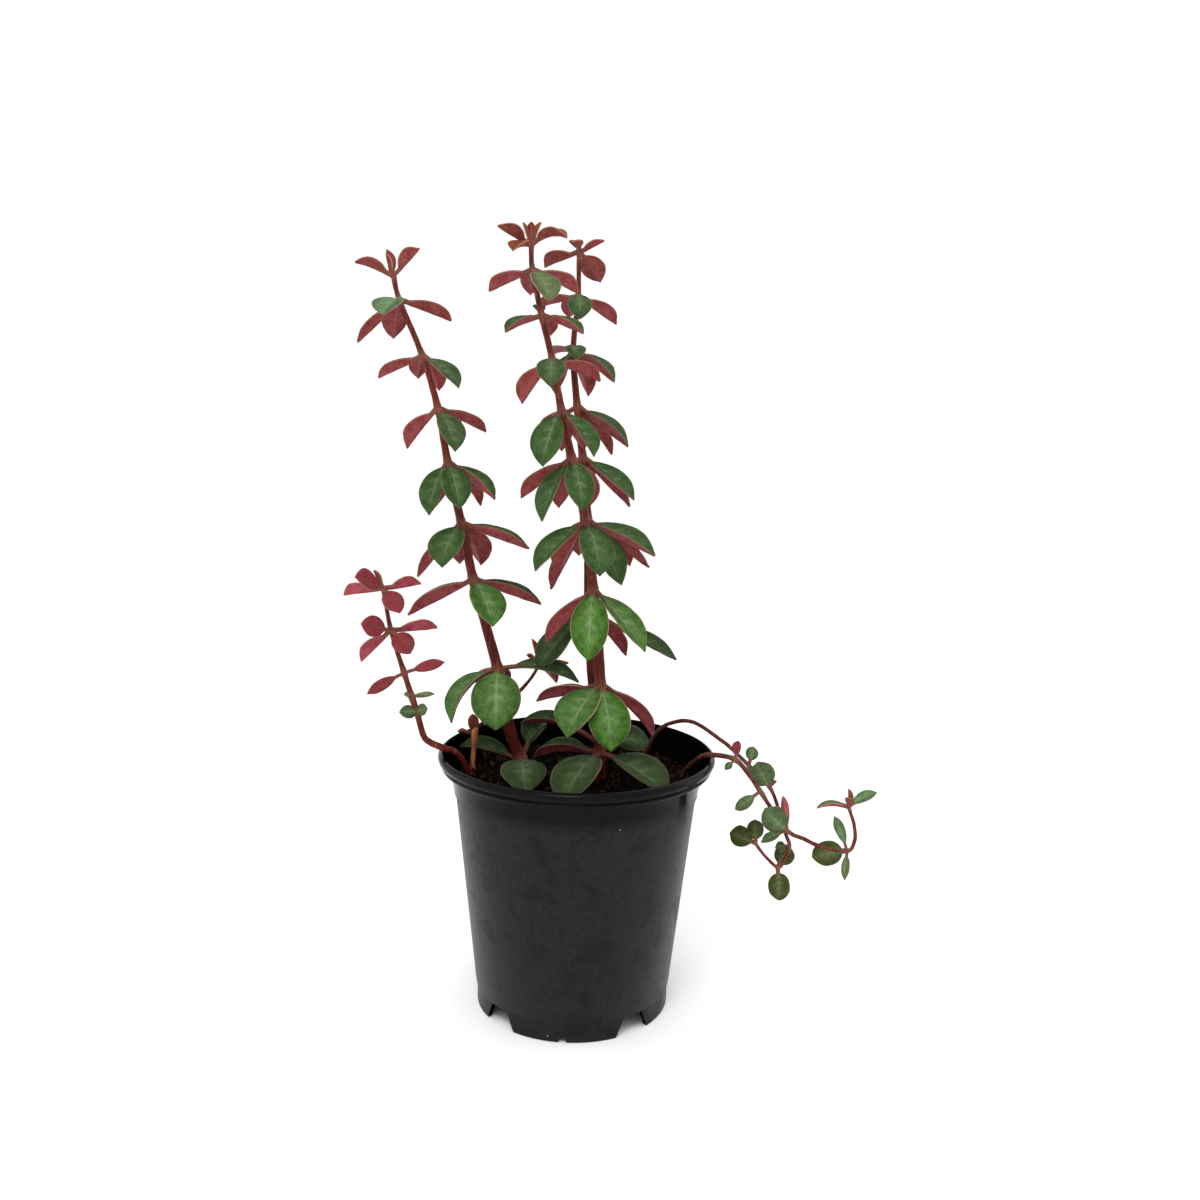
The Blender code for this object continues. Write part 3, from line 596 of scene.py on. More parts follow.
for density, kind, flat, low, high, bark_low, bark_high, seed in (
        ("Crumbs", "GeometryNodeMeshIcoSphere", 0.75, 0.35, 1.15, -0.5, 0.5, 3),
        ("Chips", "GeometryNodeMeshCube", 0.35, 1.2, 3.0, -0.2, 1.0, 8)):
    spots = node(t, "GeometryNodeDistributePointsOnFaces", bed, is_up,
                 soil_in.outputs[density], seed)
    bit = node(t, kind)
    if kind == "GeometryNodeMeshIcoSphere":
        bit.inputs["Radius"].default_value = MM
    else:
        bit.inputs["Size"].default_value = (1.6 * MM, 0.7 * MM, MM)
    spin = node(t, "FunctionNodeRandomValue", (0, 0, 0), (6.3, 6.3, 6.3), None, seed,
                data_type="FLOAT_VECTOR")
    size = node(t, "FunctionNodeRandomValue", low, high, None, seed + 1)
    flatten = node(t, "ShaderNodeVectorMath", (1.0, 1.0, flat), size, operation="SCALE")
    strewn = node(t, "GeometryNodeInstanceOnPoints", spots, None, bit, None, None,
                  spin, flatten)
    bark = node(t, "FunctionNodeRandomValue", bark_low, bark_high, None, seed + 2)
    held = node(t, "ShaderNodeClamp", bark)
    heaps.append(node(t, "GeometryNodeStoreNamedAttribute", strewn, None, "bark", held,
                      domain="INSTANCE"))
joined = node(t, "GeometryNodeJoinGeometry")
for heap in heaps:
    t.links.new(heap.outputs[0], joined.inputs[0])
real = node(t, "GeometryNodeRealizeInstances", joined)
painted = node(t, "GeometryNodeSetMaterial", real, None, soil_in.outputs["Skin"])
t.links.new(painted.outputs[0], soil_out.inputs[0])

seed_mesh = bpy.data.meshes.new("seed")
seed_mesh.from_pydata([(0, 0, 0)], [], [])
soil = grown("peat_bed", add_object("seed", seed_mesh), soil_tree, ("bark",), Skin=peat)
soil.data.transform(Matrix.Translation(in_frame((0, 0, SOIL_FOOT))))
finish_piece(soil, "peat", "soil")

# %% [markdown]
# ## The plan of the plant
# A botanist would draw a plant as a plan: where each stem runs, and which leaves stand on each
# node. These are the two tables below. The places were read from the photograph through the
# fitted camera. How far a leaf comes forward isn't seen directly, but the leaves of one ring
# are alike in length, so a leaf that looks short must point to the camera or away from it.

# %% Routes of the stems, in millimetres: x, y, z and radius
STEMS = {
    "stem_left": (
        (-21, 10, 82, 2.6),
        (-22.3, 9, 94.5, 2.5),
        (-27, 9, 108, 2.3),
        (-31.5, 8, 131, 2.1),
        (-36, 7, 148, 1.9),
        (-41, 6, 166.5, 1.75),
        (-45.5, 5, 188, 1.6),
        (-50.5, 3, 211, 1.4),
        (-54, 1.5, 231, 1.25),
        (-59.5, 0, 250, 1.1),
        (-67.5, -2, 269.5, 0.95),
        (-69.5, -3, 278, 0.8),
        (-70.5, -3, 282, 0.35),
    ),
    "stem_middle": (
        (9, -1, 82, 2.3),
        (9, -2, 92.5, 2.2),
        (8.8, -2.4, 101, 2.15),
        (8.5, -3, 128, 2.0),
        (7, -4.5, 147, 1.9),
        (5, -6, 165, 1.8),
        (1.5, -8, 191, 1.7),
        (-4, -10, 214, 1.6),
        (-8, -12, 231.5, 1.35),
        (-11.5, -13, 249, 1.2),
        (-15.5, -14, 264.5, 1.1),
        (-19, -15, 280, 0.9),
        (-19.5, -15, 288.5, 0.75),
        (-19.5, -15, 293, 0.35),
    ),
    "stem_right": (
        (10, 6, 82, 2.1),
        (9.5, 6.5, 92.5, 2.0),
        (9.2, 7, 102, 2.0),
        (5.5, 9, 127, 1.9),
        (3.5, 12, 154, 1.8),
        (3, 14, 174, 1.7),
        (2.5, 15, 189, 1.6),
        (0, 18, 213, 1.5),
        (-2.5, 20, 232.5, 1.4),
        (-4.5, 22, 254, 1.15),
        (-3, 23, 274.5, 1.0),
        (-3, 24, 291, 0.8),
        (-2.5, 24, 295, 0.35),
    ),
    "shoot_left": (
        (-39, 2, 83, 1.3),
        (-42, 0, 92, 1.3),
        (-46, -4.5, 100.5, 1.3),
        (-50.5, -8.5, 103.8, 1.3),
        (-56, -8, 106, 1.25),
        (-58.5, -8, 109, 1.2),
        (-61, -7, 117.5, 1.15),
        (-63, -6, 123, 1.1),
        (-66, -5, 132, 1.0),
        (-71, -4, 148, 0.85),
        (-74, -4, 164, 0.7),
        (-75.5, -4, 169, 0.35),
    ),
    "trailing_upper": (
        (22, 27, 84, 0.82),
        (28, 27, 93, 0.82),
        (32.5, 27, 101.5, 0.82),
        (38.5, 26, 106, 0.82),
        (47, 22, 107.5, 0.78),
        (57.5, 12, 103, 0.78),
        (62, 8, 100, 0.74),
        (67.5, 4, 95.5, 0.74),
        (75.5, 0, 88, 0.74),
        (79.5, -1, 79, 0.7),
        (82.5, -2, 69.5, 0.7),
        (84, -3, 65, 0.66),
        (82, -4, 59.5, 0.66),
        (79.5, -5, 57, 0.66),
        (74, -6, 62, 0.61),
        (70, -7, 67.5, 0.57),
        (69.5, -7, 69, 0.29),
    ),
    "trailing_lower": (
        (39.5, 8, 83, 0.98),
        (42.5, 7, 91, 0.98),
        (46, -2, 98.5, 0.98),
        (48.5, -8, 102.5, 0.98),
        (53, -10, 103.5, 0.94),
        (60, -12, 102.5, 0.9),
        (64.5, -13, 98, 0.86),
        (70, -13, 90.5, 0.86),
        (73.5, -12, 85, 0.82),
        (81, -11, 74.5, 0.82),
        (88, -11, 71, 0.78),
        (95, -11, 68, 0.78),
        (105, -10, 66, 0.74),
        (108, -9, 70, 0.7),
        (107.5, -9, 76, 0.66),
        (105, -9, 83.5, 0.61),
        (104.5, -9, 87, 0.29),
    ),
    "back_shoot": (
        (-36, 21, 84, 0.9),
        (-38, 21.5, 93, 0.9),
        (-41.5, 21, 101.5, 0.85),
        (-38, 21.5, 106, 0.8),
        (-30, 23, 112.5, 0.75),
        (-22.5, 26, 119.5, 0.7),
        (-18.5, 27, 124.5, 0.65),
        (-16, 27, 129.5, 0.6),
        (-15.7, 27, 131, 0.3),
    ),
    "cut_stub": (
        (-40, 9, 84, 1.0),
        (-41, 8, 92, 1.0),
        (-40.5, 6.5, 100, 0.95),
        (-40, 5.5, 106, 1.3),
        (-39.5, 5.5, 108, 0.8),
    ),
}

# %% [markdown]
# Each whorl names its stem, the point of the route that it stands on, its look and its leaves.
# A look is four numbers from 0 to 1: how red the face is, how grey, how dark, and how pink the
# reds are.

# %% The whorls and their leaves
LOOKS = {
    "rusty": (0.95, 0.3, 0.0, 0.0),
    "bud": (0.85, 0.0, 0.0, 0.0),
    "crimson": (1.0, 0.0, 0.35, 1.0),
    "pinkish": (0.15, 0.9, 0.15, 0.6),
    # this look is painted light: a pale, unshaded grey-green for leaves that face up into the light
    "lit_pale": (0.0, 1.0, 0.0, 0.3),
    "upper": (0.03, 0.7, 0.68, 0.35),
    "middle": (0.0, 0.3, 0.66, 0.35),
    "lower": (0.0, 0.2, 0.15, 0.6),
    "bright": (0.0, 0.0, 0.0, 0.5),
    "shaded": (0.02, 0.4, 0.9, 0.3),
    "trailing": (0.05, 0.9, 0.45, 0.5),
    "olive": (0.12, 0.2, 0.7, 0.3),
}
LEAF_STALK = 3.0
FOLD = (12.0, 42.0)
BEND = (84.0, -4.0)

Leaf = namedtuple("Leaf", "turn tilt reach width bend roll stalk cup round look")


def leaf(turn, tilt, reach, width, bend=None, roll=0, stalk=LEAF_STALK, cup=None, round=0,
         look=None):
    """One leaf: the turn from +X and the tilt above level of the line from the stem's middle to
    its tip, in degrees, that line's length and the blade's width in millimetres, the droop from
    stalk to tip and the roll about its own length in degrees, the stalk's length, the angle
    that each half is folded up from the midrib, how round the blade is, and its own look if
    it isn't the whorl's. A leaf at the side is folded more and droops less than one in front."""
    sideways = abs(math.cos(math.radians(turn)))
    if cup is None:
        cup = FOLD[0] + (FOLD[1] - FOLD[0]) * sideways
    if bend is None:
        bend = BEND[0] + (BEND[1] - BEND[0]) * sideways ** 0.6
    return Leaf(turn, tilt, reach, width, bend, roll, stalk, cup, round, look)


WHORLS = {
    "whorl_left_1": ("stem_left", 11, "rusty", (
        leaf(-155, 16, 14.5, 7.5, bend=20, roll=10, look="rusty"),
        leaf(-25, 40, 14.5, 8, roll=-20, cup=45),
        leaf(125, 60, 11, 4, stalk=2), leaf(-160, 72, 8, 3, stalk=2, look="bud"))),
    "whorl_left_2": ("stem_left", 10, "upper", (
        leaf(-103, -22, 17, 12, bend=45, look="lit_pale"), leaf(170, -43, 22, 9, cup=30),
        leaf(108, -40, 20, 9.5, cup=8), leaf(28, -17, 21, 11, cup=36))),
    "whorl_left_3": ("stem_left", 9, "upper", (
        leaf(160, -23, 20, 9, cup=35), leaf(-31, -34, 20, 11, roll=12, cup=32),
        leaf(72, -40, 19, 9), leaf(105, -30, 16, 8))),
    "whorl_left_4": ("stem_left", 8, "upper", (
        leaf(149, -45, 21, 11, cup=42), leaf(-58, -46, 21, 12),
        leaf(27, -23, 21, 10, cup=40), leaf(70, -38, 20, 9))),
    "whorl_left_5": ("stem_left", 7, "middle", (
        leaf(-114, -54, 23, 11.5, roll=-5, cup=35), leaf(-70, -43, 23, 12),
        leaf(-23, -32, 23.5, 12, cup=42), leaf(44, -46, 23, 10), leaf(114, -51, 22, 9))),
    "whorl_left_6": ("stem_left", 6, "middle", (
        leaf(-110, -41, 22, 15), leaf(0, -19, 27.2, 12, cup=40),
        leaf(178, -51, 26.5, 11, roll=10, cup=35), leaf(65, -49, 23, 13),
        leaf(100, -57, 20, 9))),
    "whorl_left_7": ("stem_left", 5, "lower", (
        leaf(-177, -29, 28.5, 13, roll=5, cup=45), leaf(-62, -39, 24, 15.5),
        leaf(0, -19, 27.6, 12.5, cup=42, look="shaded"), leaf(75, -50, 24, 12))),
    "whorl_left_8": ("stem_left", 3, "lower", (
        leaf(-88, -45, 27, 19.5), leaf(-139, -39, 28, 12, bend=75, roll=2, stalk=5, cup=38),
        leaf(-6, -7, 32, 11, bend=45, roll=20, stalk=6, cup=30, look="shaded"),
        leaf(100, -40, 27, 15))),
    "whorl_middle_1": ("stem_middle", 12, "rusty", (
        leaf(-118, -14, 13, 8, bend=30), leaf(-150, 22, 14, 9, cup=40),
        leaf(-32, 8, 15, 8, bend=60, cup=35), leaf(136, 60, 9, 2.5, stalk=2, look="bud"),
        leaf(50, 60, 9.5, 3, stalk=2, look="bud"), leaf(-90, 78, 8, 3, bend=20, stalk=2))),
    "whorl_middle_2": ("stem_middle", 11, "pinkish", (
        leaf(154, -21, 19, 10, cup=40), leaf(-62, -40, 18, 12),
        leaf(33, -19, 20, 11, cup=40), leaf(95, -25, 17, 8))),
    "whorl_middle_3": ("stem_middle", 10, "upper", (
        leaf(-139, -21, 17.5, 9), leaf(-34, -19, 19, 9, cup=38), leaf(107, 26, 8, 5, stalk=2),
        leaf(75, -27, 13, 7))),
    "whorl_middle_4": ("stem_middle", 9, "upper", (
        leaf(-91, -32, 17, 10.5), leaf(142, -47, 21, 12, cup=42),
        leaf(23, -19, 20, 12, cup=42), leaf(85, -30, 18, 8))),
    "whorl_middle_5": ("stem_middle", 8, "middle", (
        leaf(-118, -56, 23.5, 13, roll=-10, cup=25), leaf(-44, -43, 23, 12, cup=36),
        leaf(90, -44, 22, 9), leaf(60, -41, 22, 9))),
    "whorl_middle_6": ("stem_middle", 7, "middle", (
        leaf(-75, -48, 23, 11.5), leaf(-132, -55, 26.5, 12, cup=38),
        leaf(160, -37, 25, 12, cup=42), leaf(113, -58, 22, 10), leaf(57, -52, 22, 11))),
    "whorl_middle_7": ("stem_middle", 6, "middle", (
        leaf(-72, -45, 25, 14), leaf(-149, -39, 27, 13.5, roll=-12, cup=35),
        leaf(-19, -22, 29, 15, roll=8, cup=36), leaf(133, -55, 25, 12))),
    "whorl_middle_8": ("stem_middle", 5, "lower", (
        leaf(-95, -53, 29, 14.5, look="bright"), leaf(167, -49, 27.5, 13, cup=46),
        leaf(-31, -42, 30.5, 14, roll=12, cup=30))),
    "whorl_middle_9": ("stem_middle", 3, "lower", (
        leaf(-121, -32, 28, 19), leaf(-78, -47, 28, 17, look="bright"),
        leaf(8, -44, 29, 12, bend=24, roll=-10, stalk=5, cup=42),
        leaf(171, -16, 26, 12, roll=10, stalk=5, cup=42))),
    "whorl_right_1": ("stem_right", 11, "rusty", (
        leaf(153, -18, 16, 11, cup=42), leaf(52, -36, 17, 10, roll=-30, cup=20),
        leaf(-108, 28, 7, 6, stalk=2), leaf(-22, 22, 11, 5, stalk=2, look="lit_pale"))),
    "whorl_right_2": ("stem_right", 10, "upper", (
        leaf(-86, -36, 16, 9.5), leaf(22, -31, 19, 11, cup=42),
        leaf(150, -11, 19, 9), leaf(105, -29, 15, 9))),
    "whorl_right_3": ("stem_right", 9, "upper", (
        leaf(-24, -33, 21, 12, cup=40), leaf(-85, -13, 16, 8), leaf(-125, -56, 20, 9),
        leaf(54, -58, 20, 9), leaf(120, -3, 16, 8))),
    "whorl_right_4": ("stem_right", 8, "upper", (
        leaf(-3, -36, 24.8, 14, roll=12, cup=38), leaf(75, -40, 22, 9),
        leaf(22, -50, 23.5, 10), leaf(150, -30, 20, 9))),
    "whorl_right_5": ("stem_right", 7, "middle", (
        leaf(-19, -35, 26, 13, roll=15, cup=32), leaf(10, -44, 26.5, 11),
        leaf(90, -40, 24, 11), leaf(150, -45, 24, 11))),
    "whorl_right_6": ("stem_right", 6, "middle", (
        leaf(165, -62, 31, 13), leaf(23, -44, 26, 15, roll=-25, cup=20), leaf(5, -36, 30.3, 11),
        leaf(-17, -60, 28, 15, roll=30, cup=25), leaf(100, -40, 25, 12))),
    "whorl_right_7": ("stem_right", 4, "shaded", (
        leaf(-158, -46, 30, 13, bend=10, roll=-35, stalk=7, cup=25), leaf(25, -48, 25, 12),
        leaf(-8, -27, 39, 11, roll=22, stalk=12, cup=32), leaf(110, -35, 26, 12))),
    "whorl_shoot_1": ("shoot_left", 10, "crimson", (
        leaf(165, -11, 16.5, 9.5, roll=28, cup=35), leaf(-127, 23, 15, 9, bend=20, roll=-60, cup=15),
        leaf(18, 6, 14.5, 9.5, bend=-4, roll=-28, cup=35),
        leaf(-53, -29, 15, 8, bend=15, roll=25, cup=15, round=0.4),
        leaf(-145, 64, 8, 3.5, stalk=2, look="bud"))),
    "whorl_shoot_2": ("shoot_left", 9, "crimson", (
        leaf(-138, 17, 13.5, 8, bend=10, roll=-80, cup=10, round=0.5),
        leaf(22, 1, 18, 9.5, bend=-4, roll=-28, cup=35),
        leaf(-178, -46, 16.5, 9.5, bend=-4, roll=28, cup=35),
        leaf(-42, -32, 13, 8.4, bend=15, roll=35, cup=12, round=0.8))),
    "whorl_shoot_3": ("shoot_left", 8, "crimson", (
        leaf(-12, 18, 17, 4.4, bend=8, roll=70, stalk=4, cup=12),
        leaf(-137, -19, 17.5, 4.4, bend=8, roll=-60, stalk=4, cup=12))),
    "whorl_shoot_4": ("shoot_left", 7, "pinkish", (
        leaf(-121, 24, 5, 2.5, bend=10, roll=-50, stalk=1, cup=12),
        leaf(-12, 11, 9, 3, bend=-10, roll=40, stalk=1, cup=30))),
    "whorl_shoot_5": ("shoot_left", 6, "trailing", (
        leaf(-134, 9, 8, 5, bend=5, roll=-70, stalk=0.5, cup=8, round=1),
        leaf(-42, 23, 6.5, 4.6, bend=5, roll=80, stalk=0.5, cup=8, round=1))),
    "leaves_back_shoot": ("back_shoot", 7, "rusty", (
        leaf(140, 66, 10.5, 4, stalk=2), leaf(-170, 38, 6.5, 3.5, stalk=2),
        leaf(10, 0, 12, 3.5), leaf(-30, -38, 11, 6))),
    "leaf_dry_node": ("back_shoot", 2, "rusty", (
        leaf(125, 74, 8, 5, bend=10, stalk=1, cup=10, round=0.6), leaf(175, 5, 7, 3, stalk=3))),
    "whorl_left_9": ("stem_left", 1, "shaded", (
        leaf(-84, -6, 33, 18, bend=40, stalk=5), leaf(165, 6, 26, 11, bend=25, roll=-20, stalk=4),
        leaf(46, 42, 18, 14, bend=45, stalk=6))),
    "whorl_middle_10": ("stem_middle", 2, "shaded", (
        leaf(-112, -15, 38, 19, bend=35, stalk=5),
        leaf(-44, -14, 36, 17, bend=24, roll=12, stalk=6),
        leaf(163, -9, 27, 14, bend=30, stalk=4))),
    "whorl_right_8": ("stem_right", 2, "shaded", (
        leaf(20, -2, 21, 13, bend=25, roll=40, stalk=4, cup=15),
        leaf(164, 9, 33.5, 11, bend=55, roll=-10, stalk=10))),
    "leaves_trailing_upper_1": ("trailing_upper", 7, "trailing", (
        leaf(61, 48, 8, 5, bend=10, roll=21, stalk=2, cup=10, round=0.6),
        leaf(-100, -30, 5, 3, stalk=2))),
    "leaves_trailing_upper_2": ("trailing_upper", 8, "trailing", (
        leaf(-155, 60, 12.5, 9.6, bend=-8, roll=-111, stalk=1.5, cup=6, round=1),
        leaf(40, 20, 4, 3, stalk=2, look="bud"))),
    "leaves_trailing_upper_3": ("trailing_upper", 11, "trailing", (
        leaf(150, -20, 6, 4.5, bend=10, roll=-60, stalk=1.5, cup=10, round=0.6),)),
    "leaves_trailing_upper_4": ("trailing_upper", 13, "olive", (
        leaf(53, 30, 11, 8, bend=10, roll=30, stalk=1.5, cup=8, round=0.9),
        leaf(-61, -82, 13, 8.4, bend=10, roll=37, stalk=2, cup=8, round=1))),
    "leaves_trailing_upper_5": ("trailing_upper", 15, "olive", (
        leaf(139, 5, 12, 8.5, bend=15, roll=-64, stalk=1.5, cup=14, round=0.4),
        leaf(87, 49, 9.5, 6.6, bend=10, roll=-6, stalk=1.5, cup=10, round=0.6))),
    "leaves_trailing_lower_1": ("trailing_lower", 5, "trailing", (
        leaf(60, 68, 7, 4, stalk=1.5, round=0.4, look="crimson"),
        leaf(-132, -22, 7, 3, roll=-43, stalk=2.5))),
    "leaves_trailing_lower_2": ("trailing_lower", 7, "trailing", (
        leaf(-160, -32, 12.2, 5, roll=-50, stalk=3, cup=20),)),
    "leaves_trailing_lower_3": ("trailing_lower", 9, "trailing", (
        leaf(-163, 45, 13.5, 9.8, bend=-8, roll=-94, stalk=1.5, cup=6, round=1),
        leaf(-132, 76, 15, 3.6, bend=5, roll=35, stalk=2, look="crimson"),
        leaf(-160, -20, 11.5, 5, roll=-40, stalk=3))),
    "leaves_trailing_lower_4": ("trailing_lower", 12, "olive", (
        leaf(-172, -8, 14, 9.5, bend=12, roll=-66, stalk=2, cup=8, round=0.8),
        leaf(130, 60, 14, 4.5, roll=-45, stalk=3, look="lit_pale"),
        leaf(-104, -39, 12.5, 3.5, roll=20, stalk=3, look="pinkish"))),
    "leaves_trailing_lower_5": ("trailing_lower", 15, "trailing", (
        leaf(-175, 0, 12.5, 4, bend=40, stalk=2, cup=35, look="pinkish"),
        leaf(15, 22, 12.5, 5, bend=30, roll=30, stalk=2, cup=20, look="lit_pale"),
        leaf(-120, 55, 5.5, 3, stalk=1, look="bud"), leaf(100, 80, 7, 2.5, stalk=1, look="bud"))),
}
count = sum(len(leaves) for stem, point, look, leaves in WHORLS.values())
print(len(STEMS), "stems,", len(WHORLS), "whorls,", count, "leaves")

# %% [markdown]
# ## The stems
# A stem is a tube, swollen at its nodes. A bevelled curve could draw it, but the swelling and
# the colours need numbers along the tube, and a tree can carry those. The route is first made
# smooth with a Catmull-Rom curve, a point for each millimetre or so. Each point gets its
# thickness, its "rise" from soil to tip, and "joint", which is 1 on a node and fades in 2 mm.

# %% Smooth routes
STEPS_BETWEEN = 16
JOINT_LENGTH = 2.2
JOINT_SWELL = 0.24


def smooth_route(route):
    """The route's points and radii with more between them, on a Catmull-Rom curve."""
    points = [Vector(p) for p in route]
    points = [points[0] * 2 - points[1]] + points + [points[-1] * 2 - points[-2]]
    smooth = []
    for a, b, c, d in zip(points, points[1:], points[2:], points[3:]):
        for step in range(STEPS_BETWEEN):
            s = step / STEPS_BETWEEN
            smooth.append(0.5 * (2 * b + (c - a) * s + (2 * a - 5 * b + 4 * c - d) * s ** 2
                                 + (3 * b - a - 3 * c + d) * s ** 3))
    return smooth + [points[-2]]


def stem_line(name):
    """A stem's route as a chain of edges that carries thickness, rise and joint."""
    points = smooth_route(STEMS[name])
    nodes = [number * STEPS_BETWEEN for stem, number, look, leaves in WHORLS.values()
             if stem == name]
    run = [0.0]
    for a, b in zip(points, points[1:]):
        run.append(run[-1] + (b - a).xyz.length)
    mesh = bpy.data.meshes.new(name)
    mesh.from_pydata([in_frame(p[:3]) for p in points],
                     [(i, i + 1) for i in range(len(points) - 1)], [])
    joints = [max([math.exp(-((run[i] - run[n]) / JOINT_LENGTH) ** 2) for n in nodes] or [0])
              for i in range(len(points))]
    for label, numbers in (
            ("thickness", [p[3] * (1 + JOINT_SWELL * j) * MM for p, j in zip(points, joints)]),
            ("rise", [r / run[-1] for r in run]),
            ("joint", joints)):
        mesh.attributes.new(label, "FLOAT", "POINT").data.foreach_set("value", numbers)
    return add_object(name, mesh)


# %% [markdown]
# The tree sweeps a circle along the chain and roughens the skin a little, because a stem is
# never quite round. It closes both ends.

# %% The stem's tree
stem_tree, stem_in, stem_out = geometry_tree("swept_stem", Sides=20, Unevenness=0.0004,
                                             Grain=0.004, Skin=None)
t = stem_tree
line = node(t, "GeometryNodeMeshToCurve", stem_in)
thickness = node(t, "GeometryNodeInputNamedAttribute", "thickness", data_type="FLOAT")
ring = node(t, "GeometryNodeCurvePrimitiveCircle", stem_in.outputs["Sides"], 1.0)
tube = node(t, "GeometryNodeCurveToMesh", line, ring, thickness, True)
fineness = node(t, "ShaderNodeMath", 1.0, stem_in.outputs["Grain"], operation="DIVIDE")
dents = node(t, "ShaderNodeTexNoise", node(t, "GeometryNodeInputPosition"), fineness, 3.0)
push = node(t, "ShaderNodeMath", node(t, "ShaderNodeMath", dents, 0.5, operation="SUBTRACT"),
            stem_in.outputs["Unevenness"], operation="MULTIPLY")
offset = node(t, "ShaderNodeVectorMath", node(t, "GeometryNodeInputNormal"), push,
              operation="SCALE")
tube = node(t, "GeometryNodeSetPosition", tube, None, None, offset)
smooth = node(t, "GeometryNodeSetShadeSmooth", tube)
painted = node(t, "GeometryNodeSetMaterial", node(t, "GeometryNodeRealizeInstances", smooth),
               None, stem_in.outputs["Skin"])
t.links.new(painted.outputs[0], stem_out.inputs[0])

# %% Grow the stems
STEM_FINISHES = {
    "trailing_upper": ("trailing_skin", trailing_skin),
    "trailing_lower": ("trailing_skin", trailing_skin),
    "back_shoot": ("trailing_skin", trailing_skin),
    "cut_stub": ("stub_skin", dry_skin),
}
for name in STEMS:
    slot, skin = STEM_FINISHES.get(name, ("stem_skin", upright_skin))
    stem = grown(name + "_grown", stem_line(name), stem_tree, ("rise", "joint"), Skin=skin)
    finish_piece(stem, slot, name)

# %% [markdown]
# ## The leaves
# A leaf is a box of 14 by 32 cells, one cell thick, that the tree bends into shape. Across the
# box runs the number "across", from -1 to 1, and along it "along", from 0 to 1. The midrib is
# an arc: it leaves the stem at the angle "first" and turns down by "droop". The outline is a
# curve of half widths over the blade, the fold lifts both halves from the midrib, a puff makes
# each half fleshy, and the two sides of the box lie apart by the leaf's thickness.
#
# Each leaf is one point of a small starting mesh, and its numbers are attributes of that point.
# So one tree, written once, makes all the leaves of the plant.

# %% The numbers of one leaf
def leaf_numbers(stem, number, look, shape):
    """What the tree needs to know of a leaf, with lengths in metres and angles in radians."""
    route = [Vector(p[:3]) for p in STEMS[stem]]
    axis = (route[min(number + 1, len(route) - 1)] - route[max(number - 1, 0)]).normalized()
    turn, tilt = math.radians(shape.turn), math.radians(shape.tilt)
    outward = Vector((math.cos(turn), math.sin(turn), 0))
    tip = shape.reach * (outward * math.cos(tilt) + Vector((0, 0, math.sin(tilt))))
    foot = (tip - axis * tip.dot(axis)).normalized() * STEMS[stem][number][3] * FOOT_SHARE
    chord = tip - foot
    bend = math.radians(shape.bend)
    length = chord.length * (bend / 2) / math.sin(bend / 2)
    red, grey, shade, pink = LOOKS[shape.look or look]
    return {
        "foot": in_frame(route[number] + foot),
        "heading": math.atan2(chord.y, chord.x) if chord.xy.length > 0.01 else turn,
        "first": math.asin(max(-1, min(1, chord.z / chord.length))) + bend / 2,
        "droop": bend,
        "length": length * MM,
        "half_width": shape.width / 2 * MM,
        "stalk": shape.stalk / length,
        "roll": math.radians(shape.roll),
        "cup": math.radians(shape.cup),
        "round": shape.round,
        "red": red,
        "grey": grey,
        "shade": shade,
        "pink": pink,
    }


FOOT_SHARE = 0.55
BLADE_OUTLINE = ((0.0, 0.1), (0.06, 0.3), (0.16, 0.58), (0.3, 0.83), (0.45, 0.97), (0.56, 1.0),
                 (0.68, 0.93), (0.8, 0.72), (0.9, 0.42), (0.97, 0.14), (1.0, 0.03))
ROUND_OUTLINE = ((0.0, 0.1), (0.04, 0.4), (0.15, 0.72), (0.3, 0.93), (0.48, 1.0), (0.66, 0.95),
                 (0.82, 0.74), (0.93, 0.44), (0.98, 0.2), (1.0, 0.04))

# %% [markdown]
# The bending is arithmetic, so the tree has many Math nodes. They are written as a table, with
# one row for each: the name of the result, the operation, and what goes in. A name stands for
# an earlier result, and a number for itself.

